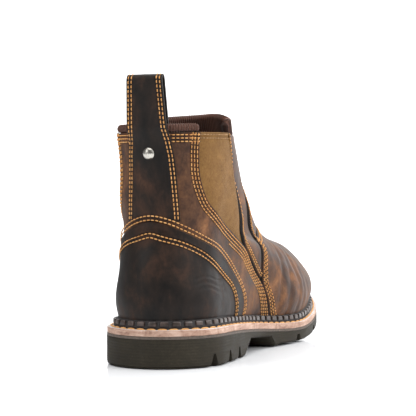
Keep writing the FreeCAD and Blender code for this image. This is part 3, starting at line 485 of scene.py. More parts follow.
def stitches_on(lines, material, hole_material, name, length=2.55, pitch=3.15, thread=THREAD, rise=0.34,
                hole=0.5):
    """Rows of stitches with a needle hole between each two. Each line is (points, normals), closely
    spaced, on the surface that is sewn."""
    points, faces, hole_rows, uvs = [], [], [], []
    count = 0
    angles = np.arange(STITCH_SECTION) * 2 * math.pi / STITCH_SECTION
    arch = 1 - (2 * np.abs(STITCH_STATIONS)) ** 3
    girth = thread * np.sqrt(np.clip(1.02 - (2 * STITCH_STATIONS) ** 4, 0.05, 1))
    for line, normals in lines:
        run = run_of(line)
        number = max(1, int(run[-1] / pitch))
        centres = (np.arange(number) + 0.5) * run[-1] / number
        s = centres[:, None] + STITCH_STATIONS * length
        s = np.clip(s, 0, run[-1])
        normal = unit(at_run(normals, run, s))
        centre = at_run(line, run, s) + normal * ((rise * 2) * arch - rise)[None, :, None]
        ahead = heading(line, run, s, 0.3)
        side = unit(np.cross(normal, ahead))
        ring = (side[:, :, None] * np.cos(angles)[:, None] + normal[:, :, None] * np.sin(angles)[:, None])
        ring = centre[:, :, None] + ring * girth[None, :, None, None]
        stations = len(STITCH_STATIONS)
        tube = grid_faces(stations, STITCH_SECTION, wrap_columns=True)[:, ::-1]
        last = (stations - 1) * STITCH_SECTION
        caps = np.array([(0, 1, 2, 3), (0, 3, 4, 5), (last + 3, last + 2, last + 1, last),
                         (last + 5, last + 4, last + 3, last)])
        one = np.concatenate([tube, caps])
        size = stations * STITCH_SECTION
        block = count + np.arange(number)[:, None, None] * size + one
        faces.append(block.reshape(-1, 4))
        points.append(ring.reshape(-1, 3))
        across = np.broadcast_to(angles[None, None, :] / 6, ring.shape[:-1])
        along = np.broadcast_to(s[:, :, None], ring.shape[:-1])
        uvs.append(np.stack([along, across], axis=-1).reshape(-1, 2) / 10)
        count += number * size
        gaps = np.clip(np.concatenate([[centres[0] - run[-1] / number / 2], centres + run[-1] / number / 2]),
                       0, run[-1])
        foot, normal = at_run(line, run, gaps), unit(at_run(normals, run, gaps))
        ahead = heading(line, run, gaps, 0.4)
        side = unit(np.cross(normal, ahead))
        # Each needle hole is a flat disc set just above the surface; in the near-black needle_hole material
        # it is painted shade.
        disc = (side[:, None] * np.cos(angles)[:, None] + ahead[:, None] * np.sin(angles)[:, None]) * hole
        rims = [foot[:, None] + disc - normal[:, None] * 0.3,
                foot[:, None] + disc * 0.86 + normal[:, None] * 0.02]
        both = np.concatenate(rims, axis=1)
        wall = grid_faces(2, STITCH_SECTION, wrap_columns=True)
        last = STITCH_SECTION
        lids = np.array([(last, last + 1, last + 2, last + 3), (last, last + 3, last + 4, last + 5),
                         (3, 2, 1, 0), (5, 4, 3, 0)])
        one = np.concatenate([wall[:, ::-1], lids])
        block = count + np.arange(len(gaps))[:, None, None] * 2 * STITCH_SECTION + one
        first = sum(len(f) for f in faces)
        faces.append(block.reshape(-1, 4))
        hole_rows.append(np.arange(first, first + len(faces[-1])))
        points.append(both.reshape(-1, 3))
        uvs.append(np.zeros((both.size // 3, 2)))
        count += len(gaps) * 2 * STITCH_SECTION
    return new_piece(name, np.concatenate(points), np.concatenate(faces), material, np.concatenate(uvs),
                     extra=hole_material, extra_faces=np.concatenate(hole_rows))


def surface_line(path, depth):
    """A row of places as a line to sew along, at a depth."""
    return on_upper(*path, depth), unit(look_up(NORMALS, *path))


def swept_band(name, section, material, count=420, wobble=0.0, sharp=35, marks=None):
    """A closed section swept round the sole. Each point of it is (reach, height above the welt's top)."""
    rings = []
    for reach, height in section:
        loop = sole_outline(reach, count)
        z = welt_top(loop[:, 0]) + height
        rings.append(placed(np.column_stack([loop, z])))
    points = np.stack(rings)
    if wobble:
        points += lumps(points, 9.0, seed=len(section))[..., None] * wobble
    run = run_of(points[0])
    steps = np.diff([(10 * r, h) for r, h in section], axis=0)
    around = np.concatenate([[0], np.cumsum(np.hypot(*steps.T))])
    uv = np.stack(np.meshgrid(around, run, indexing="ij"), axis=-1).reshape(-1, 2)[:, ::-1] / 100
    faces = grid_faces(len(section), count, wrap_rows=True, wrap_columns=True)
    return new_piece(name, points.reshape(-1, 3), faces, material, uv, sharp=sharp)


# ------------------------------------------------------------------ materials

class Look:
    """A material and short ways to add nodes to it."""

    def __init__(self, name, **settings):
        self.material = bpy.data.materials.new(name)
        self.material.use_nodes = True
        self.tree = self.material.node_tree
        self.shader = self.tree.nodes["Principled BSDF"]
        for socket, value in settings.items():
            self.shader.inputs[socket.replace("_", " ")].default_value = value
        self.place = self.node("ShaderNodeTexCoord").outputs["Object"]
        self.cloth = self.node("ShaderNodeUVMap").outputs["UV"]

    def node(self, kind, inputs=None, **settings):
        node = self.tree.nodes.new(kind)
        for key, value in settings.items():
            setattr(node, key, value)
        for key, value in (inputs or {}).items():
            if isinstance(value, bpy.types.NodeSocket):
                self.tree.links.new(value, node.inputs[key])
            else:
                node.inputs[key].default_value = value
        return node

    def noise(self, scale, detail=4.0, rough=0.55, warp=0.0, where=None):
        where = where or self.place
        return self.node("ShaderNodeTexNoise", {"Vector": where, "Scale": scale, "Detail": detail,
                                                "Roughness": rough, "Distortion": warp}).outputs["Fac"]

    def stretched(self, x, y, z, where=None):
        where = where or self.place
        return self.node("ShaderNodeMapping", {"Vector": where, "Scale": (x, y, z)}).outputs["Vector"]

    def cells(self, scale, feature="F1", where=None):
        where = where or self.place
        return self.node("ShaderNodeTexVoronoi", {"Vector": where, "Scale": scale},
                         feature=feature).outputs["Distance"]

    def ramp(self, value, *stops):
        """Colours at places from 0 to 1 along value."""
        node = self.node("ShaderNodeValToRGB", {"Fac": value})
        elements = node.color_ramp.elements
        while len(elements) < len(stops):
            elements.new(0.5)
        for element, (position, colour) in zip(elements, stops):
            element.position = position
            element.color = (*colour, 1) if len(colour) == 3 else colour
        return node.outputs["Color"]

    def steps(self, value, low, high, start=0.0, end=1.0):
        return self.node("ShaderNodeMapRange", {"Value": value, "From Min": low, "From Max": high,
                                                "To Min": start, "To Max": end},
                         interpolation_type="SMOOTHSTEP").outputs["Result"]

    def math(self, operation, a, b=0.0):
        return self.node("ShaderNodeMath", {0: a, 1: b}, operation=operation).outputs[0]

    def mix(self, share, a, b, blend="MIX"):
        node = self.node("ShaderNodeMix", data_type="RGBA", blend_type=blend)
        for socket, value in ((node.inputs[0], share), (node.inputs[6], a), (node.inputs[7], b)):
            if isinstance(value, bpy.types.NodeSocket):
                self.tree.links.new(value, socket)
            elif hasattr(value, "__len__"):
                socket.default_value = (*value, 1)
            else:
                socket.default_value = value
        return node.outputs[2]

    def mark(self, name):
        return self.node("ShaderNodeAttribute", attribute_name=name).outputs["Fac"]

    def colour(self, value):
        self.tree.links.new(value, self.shader.inputs["Base Color"])

    def rough(self, value):
        self.tree.links.new(value, self.shader.inputs["Roughness"])

    def bump(self, *heights):
        """Heights as (value, strength, distance in millimetres), laid over each other."""
        normal = None
        for value, strength, distance in heights:
            inputs = {"Height": value, "Strength": strength, "Distance": distance * MM}
            if normal is not None:
                inputs["Normal"] = normal
            normal = self.node("ShaderNodeBump", inputs).outputs["Normal"]
        self.tree.links.new(normal, self.shader.inputs["Normal"])


def brown_leather():
    """Oiled pull-up leather: rust where it is stretched, dark where oil has gathered, fine scuffs."""
    look = Look("brown_leather", Specular_IOR_Level=0.16)
    clouds = look.noise(34, 5, 0.62, 0.9)
    patches = look.noise(78, 6, 0.66, 0.5, look.stretched(1, 1, 0.7))
    fine = look.noise(420, 6, 0.7, 0.3)
    tone = look.math("ADD", look.math("MULTIPLY", clouds, 0.62), look.math("MULTIPLY", patches, 0.38))
    tone = look.math("ADD", tone, look.math("MULTIPLY", look.math("SUBTRACT", fine, 0.5), 0.16))
    base = look.ramp(tone, (0.36, (0.020, 0.011, 0.008)), (0.46, (0.050, 0.024, 0.014)),
                     (0.54, (0.095, 0.043, 0.021)), (0.62, (0.170, 0.076, 0.033)),
                     (0.74, (0.300, 0.145, 0.062)))
    scuffs = look.noise(150, 8, 0.75, 1.6, look.stretched(1.6, 1.6, 0.5))
    scuffs = look.steps(scuffs, 0.58, 0.74)
    worn = look.mix(look.math("MULTIPLY", scuffs, 0.34), base, (0.33, 0.165, 0.080))
    edge = look.steps(look.mark("edge"), 0.2, 9.0)
    shade = look.mix(edge, (0.62, 0.55, 0.50), (1.0, 1.0, 1.0))
    worn = look.mix(1.0, worn, shade, "MULTIPLY")
    look.colour(worn)
    look.rough(look.steps(tone, 0.35, 0.7, 0.46, 0.66))
    grain = look.cells(760)
    pores = look.cells(1500, "SMOOTH_F1")
    wrinkles = look.noise(120, 5, 0.6, 1.2)
    look.bump((wrinkles, 0.35, 0.6), (grain, 0.30, 0.16), (pores, 0.2, 0.08), (fine, 0.35, 0.14))
    return look.material


def dark_leather():
    """Smooth oiled leather, nearly black, with brown showing through where it is rubbed."""
    look = Look("dark_leather", Specular_IOR_Level=0.13)
    clouds = look.noise(26, 5, 0.6, 0.8)
    fine = look.noise(300, 6, 0.7, 0.4)
    streaks = look.noise(90, 6, 0.68, 0.6, look.stretched(1, 1, 0.35))
    tone = look.math("ADD", look.math("MULTIPLY", clouds, 0.55), look.math("MULTIPLY", streaks, 0.45))
    tone = look.math("ADD", tone, look.math("MULTIPLY", look.math("SUBTRACT", fine, 0.5), 0.14))
    base = look.ramp(tone, (0.38, (0.0075, 0.0065, 0.0060)), (0.50, (0.015, 0.0105, 0.0085)),
                     (0.60, (0.034, 0.018, 0.012)), (0.74, (0.075, 0.036, 0.021)))
    look.colour(base)
    look.rough(look.steps(tone, 0.38, 0.7, 0.44, 0.60))
    look.bump((look.noise(70, 4, 0.55, 0.8), 0.22, 0.5), (look.cells(820), 0.22, 0.12), (fine, 0.25, 0.10))
    return look.material


def thread():
    look = Look("thread", Specular_IOR_Level=0.2, Sheen_Weight=0.1)
    twist = look.node("ShaderNodeTexWave", {"Vector": look.cloth, "Scale": 26.0, "Distortion": 0.4},
                      bands_direction="DIAGONAL").outputs["Fac"]
    tone = look.noise(240, 3)
    base = look.ramp(tone, (0.3, (0.56, 0.25, 0.07)), (0.55, (0.80, 0.41, 0.13)), (0.8, (0.93, 0.55, 0.23)))
    look.colour(look.mix(look.math("MULTIPLY", twist, 0.45), base, (0.30, 0.11, 0.03)))
    look.rough(look.steps(tone, 0.2, 0.8, 0.48, 0.66))
    look.bump((twist, 0.6, 0.12))
    return look.material


def needle_hole():
    # Near black: painted shade inside each needle hole.
    look = Look("needle_hole", Roughness=0.9)
    look.colour(look.ramp(look.noise(900, 3), (0.3, (0.004, 0.003, 0.002)), (0.8, (0.014, 0.008, 0.006))))
    look.bump((look.noise(2000), 0.2, 0.05))
    return look.material


def knit(name, dark, light, ribs=34.0):
    """Ribbed knit: ribs up the cloth, each of short slanting loops."""
    look = Look(name, Roughness=0.88, Specular_IOR_Level=0.12, Sheen_Weight=0.10, Sheen_Roughness=0.5)
    rib = look.node("ShaderNodeTexWave", {"Vector": look.cloth, "Scale": ribs * 1.0, "Distortion": 0.6,
                                          "Detail": 1.0, "Detail Scale": 3.0},
                    bands_direction="X").outputs["Fac"]
    loops = look.node("ShaderNodeTexWave", {"Vector": look.cloth, "Scale": ribs * 1.3, "Distortion": 1.6,
                                            "Detail": 2.0}, bands_direction="Y").outputs["Fac"]
    fuzz = look.noise(1600, 4, 0.7)
    tone = look.math("ADD", look.math("MULTIPLY", rib, 0.6),
                     look.math("ADD", look.math("MULTIPLY", loops, 0.18), look.math("MULTIPLY", fuzz, 0.32)))
    look.colour(look.ramp(tone, (0.2, dark), (0.85, light)))
    look.bump((rib, 0.9, 0.5), (loops, 0.5, 0.25), (fuzz, 0.5, 0.2))
    return look.material


def elastic():
    """Woven elastic: fine upright cords crossed by a tight weft."""
    look = Look("gusset_elastic", Roughness=0.82, Specular_IOR_Level=0.12, Sheen_Weight=0.08,
                Sheen_Roughness=0.4)
    cords = look.node("ShaderNodeTexWave", {"Vector": look.cloth, "Scale": 40.0, "Distortion": 0.35,
                                            "Detail": 1.0}, bands_direction="X").outputs["Fac"]
    weft = look.node("ShaderNodeTexWave", {"Vector": look.cloth, "Scale": 58.0, "Distortion": 0.8,
                                           "Detail": 1.0}, bands_direction="Y").outputs["Fac"]
    fibre = look.noise(700, 5, 0.75)
    mottle = look.noise(130, 4, 0.6)
    tone = look.math("ADD", look.math("MULTIPLY", cords, 0.30), look.math("MULTIPLY", fibre, 0.42))
    tone = look.math("ADD", tone, look.math("MULTIPLY", mottle, 0.28))
    look.colour(look.ramp(tone, (0.28, (0.060, 0.027, 0.008)), (0.5, (0.170, 0.084, 0.024)),
                          (0.74, (0.300, 0.165, 0.056))))
    look.bump((cords, 0.55, 0.18), (weft, 0.4, 0.12), (fibre, 0.4, 0.12))
    return look.material


def sole_rubber():
    """Moulded rubber with fine level lines, a little dust in them."""
    look = Look("sole_rubber", Specular_IOR_Level=0.15)
    lines = look.node("ShaderNodeTexWave", {"Vector": look.place, "Scale": 150.0, "Distortion": 0.5,
                                            "Detail": 1.0}, bands_direction="Z").outputs["Fac"]
    dust = look.noise(60, 6, 0.7, 0.6)
    grit = look.noise(900, 4, 0.7)
    tone = look.math("ADD", look.math("MULTIPLY", dust, 0.55), look.math("MULTIPLY", grit, 0.45))
    base = look.ramp(tone, (0.35, (0.016, 0.013, 0.009)), (0.55, (0.029, 0.024, 0.016)),
                     (0.75, (0.047, 0.040, 0.028)))
    look.colour(look.mix(look.math("MULTIPLY", lines, 0.3), base, (0.016, 0.014, 0.010)))
    look.rough(look.steps(tone, 0.3, 0.7, 0.52, 0.72))
    look.bump((lines, 0.35, 0.25), (grit, 0.25, 0.1))
    return look.material


def midsole_rubber():
    look = Look("midsole_rubber", Roughness=0.7)
    grit = look.noise(500, 5, 0.7)
    look.colour(look.ramp(grit, (0.3, (0.045, 0.034, 0.027)), (0.7, (0.12, 0.09, 0.07))))
    look.bump((grit, 0.3, 0.12))
    return look.material


def welt_edge():
    """Sanded edge of a leather and rubber welt: pinkish tan, streaked along, with dark flecks."""
    look = Look("welt_edge", Specular_IOR_Level=0.35)
    streaks = look.noise(60, 6, 0.7, 0.4, look.stretched(1, 1, 9))
    blotches = look.noise(95, 5, 0.65, 0.8)
    flecks = look.noise(520, 5, 0.75)
    tone = look.math("ADD", look.math("MULTIPLY", streaks, 0.45), look.math("MULTIPLY", blotches, 0.55))
    base = look.ramp(tone, (0.36, (0.150, 0.075, 0.050)), (0.45, (0.330, 0.195, 0.140)),
                     (0.56, (0.480, 0.320, 0.245)), (0.70, (0.660, 0.520, 0.430)))
    base = look.mix(look.steps(flecks, 0.60, 0.72, 0.0, 0.7), base, (0.10, 0.055, 0.04))
    # Faces turned upwards are mixed towards a pale grey: a painted highlight on the welt's top from the
    # overhead light.
    facing = look.node("ShaderNodeSeparateXYZ",
                       {0: look.node("ShaderNodeNewGeometry").outputs["Normal"]}).outputs["Z"]
    top = look.ramp(blotches, (0.3, (0.42, 0.36, 0.33)), (0.7, (0.66, 0.62, 0.60)))
    look.colour(look.mix(look.steps(facing, 0.45, 0.85), base, top))
    look.rough(look.steps(tone, 0.3, 0.7, 0.55, 0.72))
    look.bump((streaks, 0.4, 0.3), (flecks, 0.3, 0.12))
    return look.material


def rand_leather():
    look = Look("rand_leather", Specular_IOR_Level=0.6)
    tone = look.noise(180, 5, 0.65)
    look.colour(look.ramp(tone, (0.35, (0.018, 0.011, 0.008)), (0.55, (0.042, 0.025, 0.019)),
                          (0.75, (0.095, 0.062, 0.050))))
    look.rough(look.steps(tone, 0.3, 0.7, 0.30, 0.5))
    look.bump((look.noise(700, 4), 0.3, 0.1))
    return look.material


def metal(name, light, rough, dents):
    look = Look(name, Metallic=1.0)
    tone = look.noise(300, 4)
    look.colour(look.ramp(tone, (0.3, tuple(0.72 * c for c in light)), (0.7, light)))
    look.rough(look.steps(tone, 0.3, 0.7, rough, rough + 0.16))
    look.bump((look.cells(dents), 0.5, 0.35), (look.noise(1500), 0.2, 0.05))
    return look.material


def flecked(name, dark, light, scale, rough=0.85, relief=0.3):
    """Board, cork, foam and moulded sheet: a plain body with flecks."""
    look = Look(name, Roughness=rough)
    flecks = look.noise(scale, 5, 0.75)
    cells = look.cells(scale * 1.4)
    tone = look.math("ADD", look.math("MULTIPLY", flecks, 0.65), look.math("MULTIPLY", cells, 0.35))
    look.colour(look.ramp(tone, (0.3, dark), (0.6, light)))
    look.bump((flecks, 0.4, relief), (cells, 0.3, relief))
    return look.material


# Near black for the cut walls of the slabs, leather and cloth alike.
BLACK_CUT_EDGE = flecked("black_cut_edge", (0.003, 0.002, 0.002), (0.009, 0.006, 0.005), 700, 0.8, 0.1)
GAP_LOOK = flecked("rand_shadow", (0.004, 0.003, 0.003), (0.014, 0.010, 0.009), 500, 0.7, 0.15)
BROWN, DARK, THREAD_LOOK, HOLE_LOOK = brown_leather(), dark_leather(), thread(), needle_hole()
COLLAR_KNIT = knit("collar_knit", (0.020, 0.0085, 0.006), (0.150, 0.066, 0.044))
LINING_KNIT = knit("lining_knit", (0.007, 0.004, 0.003), (0.050, 0.026, 0.018), 24.0)
ELASTIC_LOOK, RUBBER, MIDSOLE_LOOK = elastic(), sole_rubber(), midsole_rubber()
WELT_LOOK, RAND_LOOK = welt_edge(), rand_leather()
RIVET_LOOK = metal("rivet_metal", (0.50, 0.48, 0.43), 0.20, 420)
STEEL_LOOK = metal("plate_steel", (0.56, 0.57, 0.60), 0.32, 90)
CAD_LOOKS = {
    "cork_filler": flecked("cork", (0.16, 0.08, 0.035), (0.50, 0.33, 0.18), 420),
    "steel_midsole": STEEL_LOOK, "steel_toe_cap": STEEL_LOOK,
    "insole_board": flecked("board", (0.34, 0.25, 0.17), (0.62, 0.50, 0.37), 500),
    "midsole": MIDSOLE_LOOK, "rivet_cap": RIVET_LOOK, "rivet_burr": RIVET_LOOK,
    "heel_counter_stiffener": flecked("stiffener_plastic", (0.52, 0.47, 0.37), (0.70, 0.65, 0.55), 260,
                                      0.5, 0.1),
}
FOAM = flecked("pad_foam", (0.40, 0.36, 0.28), (0.62, 0.58, 0.49), 800, 0.95)
for foam_node in ("toe_cap_pad_lateral", "toe_cap_pad_medial", "rear_collar_foam"):
    CAD_LOOKS[foam_node] = FOAM
FOOTBED_LOOK = flecked("footbed_cloth", (0.012, 0.012, 0.014), (0.060, 0.060, 0.068), 900, 0.95)

for cad_node, cad_look in CAD_LOOKS.items():
    cad_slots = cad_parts[cad_node].data.materials
    cad_slots.clear()
    cad_slots.append(cad_look)

# ------------------------------------------------------------------ the pieces' places

RIM, COLLAR_TOP, FRONT_RIM, TAB_FOOT = 166.5, 171.0, 165.5, 146.0
THROAT_X = 203.0
QUARTER_FRONT = [(161, 16.8), (153.5, 27), (147.5, 37.1), (140, 51.3), (129, 62.1), (117, 72.4),
                 (104, 81.8), (88, 89.2), (71, 97.1), (50, 108.2), (38.5, 117.5), (32.5, 132.1),
                 (30.8, 149.2), (30.2, RIM)]
VAMP_REAR = [(162, 16.8), (154.5, 27), (148.8, 37.1), (142.5, 50.3), (143.5, 58.2), (145, 70.2),
             (147, 84.1)]
STRIP_REAR = [(139.3, 54.9), (130, 64.4), (117.5, 74.7), (106, 83.7), (103, 92.8), (100, 102.4),
              (94.5, 117.5),
              (84.5, 142.8), (74, FRONT_RIM)]
STRIP_FRONT = [(141.2, 55.8), (142, 64.3), (142.6, 75.3), (142.2, 86.3), (138.5, 104.4), (128.5, 125.6),
               (117, 145.9), (106, FRONT_RIM)]
PANEL_SIDE = [(148, 86.6), (149, 99.1), (146, 113.2), (138.5, 127.4), (128, 145.6), (117, FRONT_RIM)]
REAR_GUSSET_BACK = [(24.5, 110.4), (23.5, 121.4), (23, 139.4), (22.5, RIM)]
REAR_GUSSET_FOOT = [(24.5, 110.4), (40, 100), (60, 88.4), (82, 77.9), (103, 69.3)]
REAR_GUSSET_FRONT = [(103, 69.3), (111, 83.1), (109, 102.1), (101.5, 121.3), (93, 139.6), (82.5, RIM)]
FRONT_GUSSET_BACK = [(138.5, 60.4), (136.5, 84.4), (131, 104.6), (121, 125.8), (110, 146.1), (99.5, 162.4)]
FRONT_GUSSET_FRONT = [(147, 60.1), (152, 84), (153, 104), (146, 125.2), (135, 144.5), (123, 161.8)]
BAND_OUTER = [(99, 24.4), (97.5, 36.4), (90.5, 51.6), (78.5, 64.4), (55.5, 79), (37, 87), (23.5, 94.6),
              (17, 100)]
BAND_INNER = [(88.5, 25.4), (86.5, 35.7), (77.5, 54), (63, 64.6), (43.6, 75.9), (31, 83.4), (21, 89.4),
              (15, 93.2)]
BAND_OUTER_BACK, BAND_INNER_BACK = 102.8, 95.6
LINING_SIDE = [(108, 89.2), (106, 101.2), (99.5, 119.4), (89.5, 142.7), (79, FRONT_RIM)]
COVER_CORNER = 0.24

LEATHER, LINING = (0.0, -2.2), (-4.3, -5.8)
OVERLAY, BAND, ELASTIC, TAB = (1.65, 0.15), (2.05, 0.15), (-2.65, -3.7), (-6.55, -8.05)
THROAT = front_height(THROAT_X)
HALF_SEAM = 0.2 / 320

# ------------------------------------------------------------------ how the pieces move

BEND_START, BEND_END = (0.0, 0.0, 0.060), (0.0, 0.0, 0.112)
FRONT_STRIP_DEPTH = (0.0, -2.2)


def stands_for(piece, slot, *nodes):
    if nodes:
        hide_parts(*nodes)
    return piece


def on_boot(piece, slot, *nodes):
    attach(piece, "boot")
    return stands_for(piece, slot, *nodes)


def on_front(piece, slot, *nodes):
    """Front of the shaft: its place is baked into the mesh, and the CAD nodes that it stands for are hidden.
    """
    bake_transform(piece)
    return stands_for(piece, slot, *nodes)


def sewn(name, paths, depth=0.0, ride=on_boot, **sizes):
    """Rows of stitches on the upper, at the depth of the leather that they hold."""
    lines = [surface_line(path, depth) for path in paths]
    return ride(stitches_on(lines, THREAD_LOOK, HOLE_LOOK, name, **sizes), "thread")


# ------------------------------------------------------------------ leather of the upper

def quarter_relief(points, u, t):
    """Soft unevenness, and creases where the shaft folds above the heel."""
    creases = 0.0
    for height, lean in ((0.52, 0.020), (0.58, -0.015), (0.66, 0.018)):
        line = height + lean * np.sin(9 * u)
        creases = creases - 0.28 * np.exp(-((t - line) / 0.010) ** 2)
    return 0.32 * lumps(points, 26, 1.0) + 0.14 * lumps(points, 7, 2.0) + creases * lumps(points, 40, 3.0)


ROW_STEPS = (1.9, 4.3, 6.7)


def add_quarters():
    front = seam(QUARTER_FRONT)
    back = straight((HALF_SEAM, 0.0), (HALF_SEAM, back_height(RIM)))
    place = patch(straight(back(0), front(0)), straight(back(1), front(1)), back, front)
    rows = [inset(traced(front, 400), d) for d in ROW_STEPS + (9.0,)]
    lower = [(u[:215], t[:215]) for u, t in rows[3:]]
    top = traced(straight(back(1), front(1)), 200)
    collar = [inset(top, -d) for d in (1.6, 4.0, 6.4)]
    for side, flip in (("lateral", False), ("medial", True)):
        quarter = flipped(place) if flip else place
        sign = -1 if flip else 1
        grooves = [(sign * u, t) for u, t in rows[:3] + lower + collar]
        piece = slab("quarter_leather_" + side, quarter, LEATHER, BROWN, fine=(0, 11, 0, 9), rows=grooves,
                     relief=quarter_relief)
        on_boot(piece, "brown_leather", "quarter_" + side)
        sewn("quarter_seam_" + side, grooves[:4])
        sewn("collar_seam_" + side, grooves[4:])


def vamp_relief(points, u, t):
    """Flex creases across the ball, slack leather behind the toe cap and a smooth cap."""
    drawn_x = points[..., 0] + DRAWN_LENGTH / 2
    soft = ease((drawn_x - 150) / 20) * (1 - ease((drawn_x - 222) / 22))
    folds = 0.0
    for start, lean, depth in ((176, 0.35, 0.9), (189, 0.25, 1.1), (203, 0.15, 0.9), (215, 0.08, 0.5)):
        line = start + lean * (points[..., 2] - 60) + 2.5 * np.sin(points[..., 2] / 9 + start)
        folds = folds - depth * np.exp(-((drawn_x - line) / 3.2) ** 2)
        folds = folds + 0.45 * depth * np.exp(-((drawn_x - line - 6) / 4.5) ** 2)
    ridge = -0.25 * np.exp(-((drawn_x - 236) / 1.6) ** 2)
    return (soft * folds * (0.7 + 0.6 * lumps(points, 30, 4.0)) + soft * 0.6 * lumps(points, 14, 5.0)
            + 0.22 * lumps(points, 24, 6.0) + ridge)


def add_vamp():
    rear = seam(VAMP_REAR)
    throat = arched(rear(1), THROAT, 1.0)
    place = patch(straight(rear(0), mirrored(rear, 1)(0)), throat, rear, mirrored(rear, 1))
    edge = traced(rear, 200)
    rows = [inset(edge, -d) for d in (2.0, 4.4, 6.8)]
    across = traced(throat, 400)
    rows_top = [inset(across, -d) for d in (2.0, 4.4)]
    grooves = rows + [(2 - u, t) for u, t in rows] + rows_top
    vamp = slab("vamp_leather", place, LEATHER, BROWN, fine=(9, 9, 0, 7), rows=grooves, relief=vamp_relief)
    on_boot(vamp, "brown_leather", "vamp")
    sewn("vamp_seam", grooves)
    lining = slab("vamp_lining_cloth", place, LINING, LINING_KNIT, step=3.0, soften=0.2)
    on_boot(lining, "lining_knit", "vamp_lining")


def cover_relief(points, u, t):
    """The counter stands proud in the middle, and a plain wave is pressed into its outer side."""
    drawn_x, z = points[..., 0] + DRAWN_LENGTH / 2, points[..., 2]
    outer = points[..., 1] < 0
    f = np.clip((drawn_x - 22) / 38, 0, 1)
    inside = (drawn_x > 22) & (drawn_x < 60) & outer
    taper = np.sin(math.pi * f)
    wave = np.zeros_like(z)
    for base, swing, width in ((57.5, 2.2, 0.85), (53.6, 2.4, 0.7), (61.8, 1.8, 0.6)):
        line = base + swing * np.sin(2 * math.pi * f * 0.95)
        wave = wave - 0.55 * np.exp(-((z - line) / width) ** 2) * taper ** 0.5
    return 0.35 * lumps(points, 30, 7.0) + 0.1 * lumps(points, 8, 8.0) + np.where(inside, wave, 0.0)


def add_counter():
    outer, inner = wrapped(BAND_OUTER, BAND_OUTER_BACK), wrapped(BAND_INNER, BAND_INNER_BACK)
    band = patch(inner, outer, straight(inner(0), outer(0)), straight(inner(1), outer(1)))
    outer_rows = [inset(traced(outer, 700), -d) for d in (1.4, 4.3)]
    inner_rows = [inset(traced(inner, 700), d) for d in (1.2, 4.1)]
    rows = outer_rows + inner_rows

    def band_relief(points, u, t):
        return 0.12 * lumps(points, 12, 9.0)

    piece = slab("counter_band_leather", band, BAND, DARK, step=1.2, fine=(0, 0, 7, 7), rows=rows,
                 relief=band_relief)
    on_boot(piece, "dark_leather", "counter_band")
    sewn("counter_band_seam", rows, BAND[0])

    def within(f):
        u, t = inner(f)
        f = np.asarray(f, float)
        return u - 4 * HALF_SEAM * (1 - 2 * f), t - 0.004

    def cover_side(f):
        return within(COVER_CORNER * np.asarray(f, float))

    def cover_top(f):
        return within(COVER_CORNER + (1 - 2 * COVER_CORNER) * np.asarray(f, float))

    cover = patch(straight(cover_side(0), mirrored(cover_side)(0)), cover_top, cover_side,
                  mirrored(cover_side))
    piece = slab("counter_cover_leather", cover, OVERLAY, DARK, step=1.0, fine=(3, 3, 0, 3),
                 relief=cover_relief)
    on_boot(piece, "dark_leather", "heel_counter_cover")


def add_linings():
    front = seam(QUARTER_FRONT)
    place = patch(straight(mirrored(front)(0), front(0)), straight(mirrored(front)(1), front(1)),
                  mirrored(front), front)
    piece = slab("quarter_lining_cloth", place, LINING, LINING_KNIT, step=2.6, soften=0.2)
    on_boot(piece, "lining_knit", "quarter_lining")
    side = seam(LINING_SIDE)
    foot = arched(side(0), THROAT + 0.012, 1.0)
    place = patch(foot, straight(side(1), mirrored(side, 1)(1)), side, mirrored(side, 1))
    piece = slab("front_lining_cloth", place, LINING, LINING_KNIT, step=2.2, soften=0.2)
    on_front(piece, "lining_knit", "front_lining")


def add_gussets():
    """Two elastic gussets on each side, hemmed at the top."""
    start, end, foot = seam(REAR_GUSSET_BACK), seam(REAR_GUSSET_FRONT), seam(REAR_GUSSET_FOOT)
    rear = patch(foot, straight(start(1), end(1)), start, end)
    start, end = seam(FRONT_GUSSET_BACK), seam(FRONT_GUSSET_FRONT)
    front = patch(straight(start(0), end(0)), straight(start(1), end(1)), start, end)

    def hem(points, u, t):
        return 0.10 * lumps(points, 10, 10.0)

    for side, flip in (("lateral", False), ("medial", True)):
        for part, whole, blend_ends in (("rear", rear, ((-0.125, 0, 0.130), (-0.066, 0, 0.1415))),
                                        ("front", front, (BEND_START, BEND_END))):
            place = flipped(whole) if flip else whole
            top = traced(lambda f, place=place: place(f, np.ones_like(f)), 200)
            rows = [inset(top, (1 if flip else -1) * d) for d in (1.6, 4.2)]
            name = "%s_gusset_cloth_%s" % (part, side)
            piece = slab(name, place, ELASTIC, ELASTIC_LOOK, step=1.8, fine=(0, 0, 0, 6), rows=rows,
                         soften=0.4, relief=hem)
            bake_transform(piece)
            stands_for(piece, "gusset_elastic", "%s_gusset_%s" % (part, side))
            lines = [surface_line(row, ELASTIC[0]) for row in rows]
            thread_row = stitches_on(lines, TAN_THREAD, ELASTIC_LOOK, "%s_gusset_hem_%s" % (part, side),
                                     thread=0.3, rise=0.22, hole=0.2)
            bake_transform(thread_row)


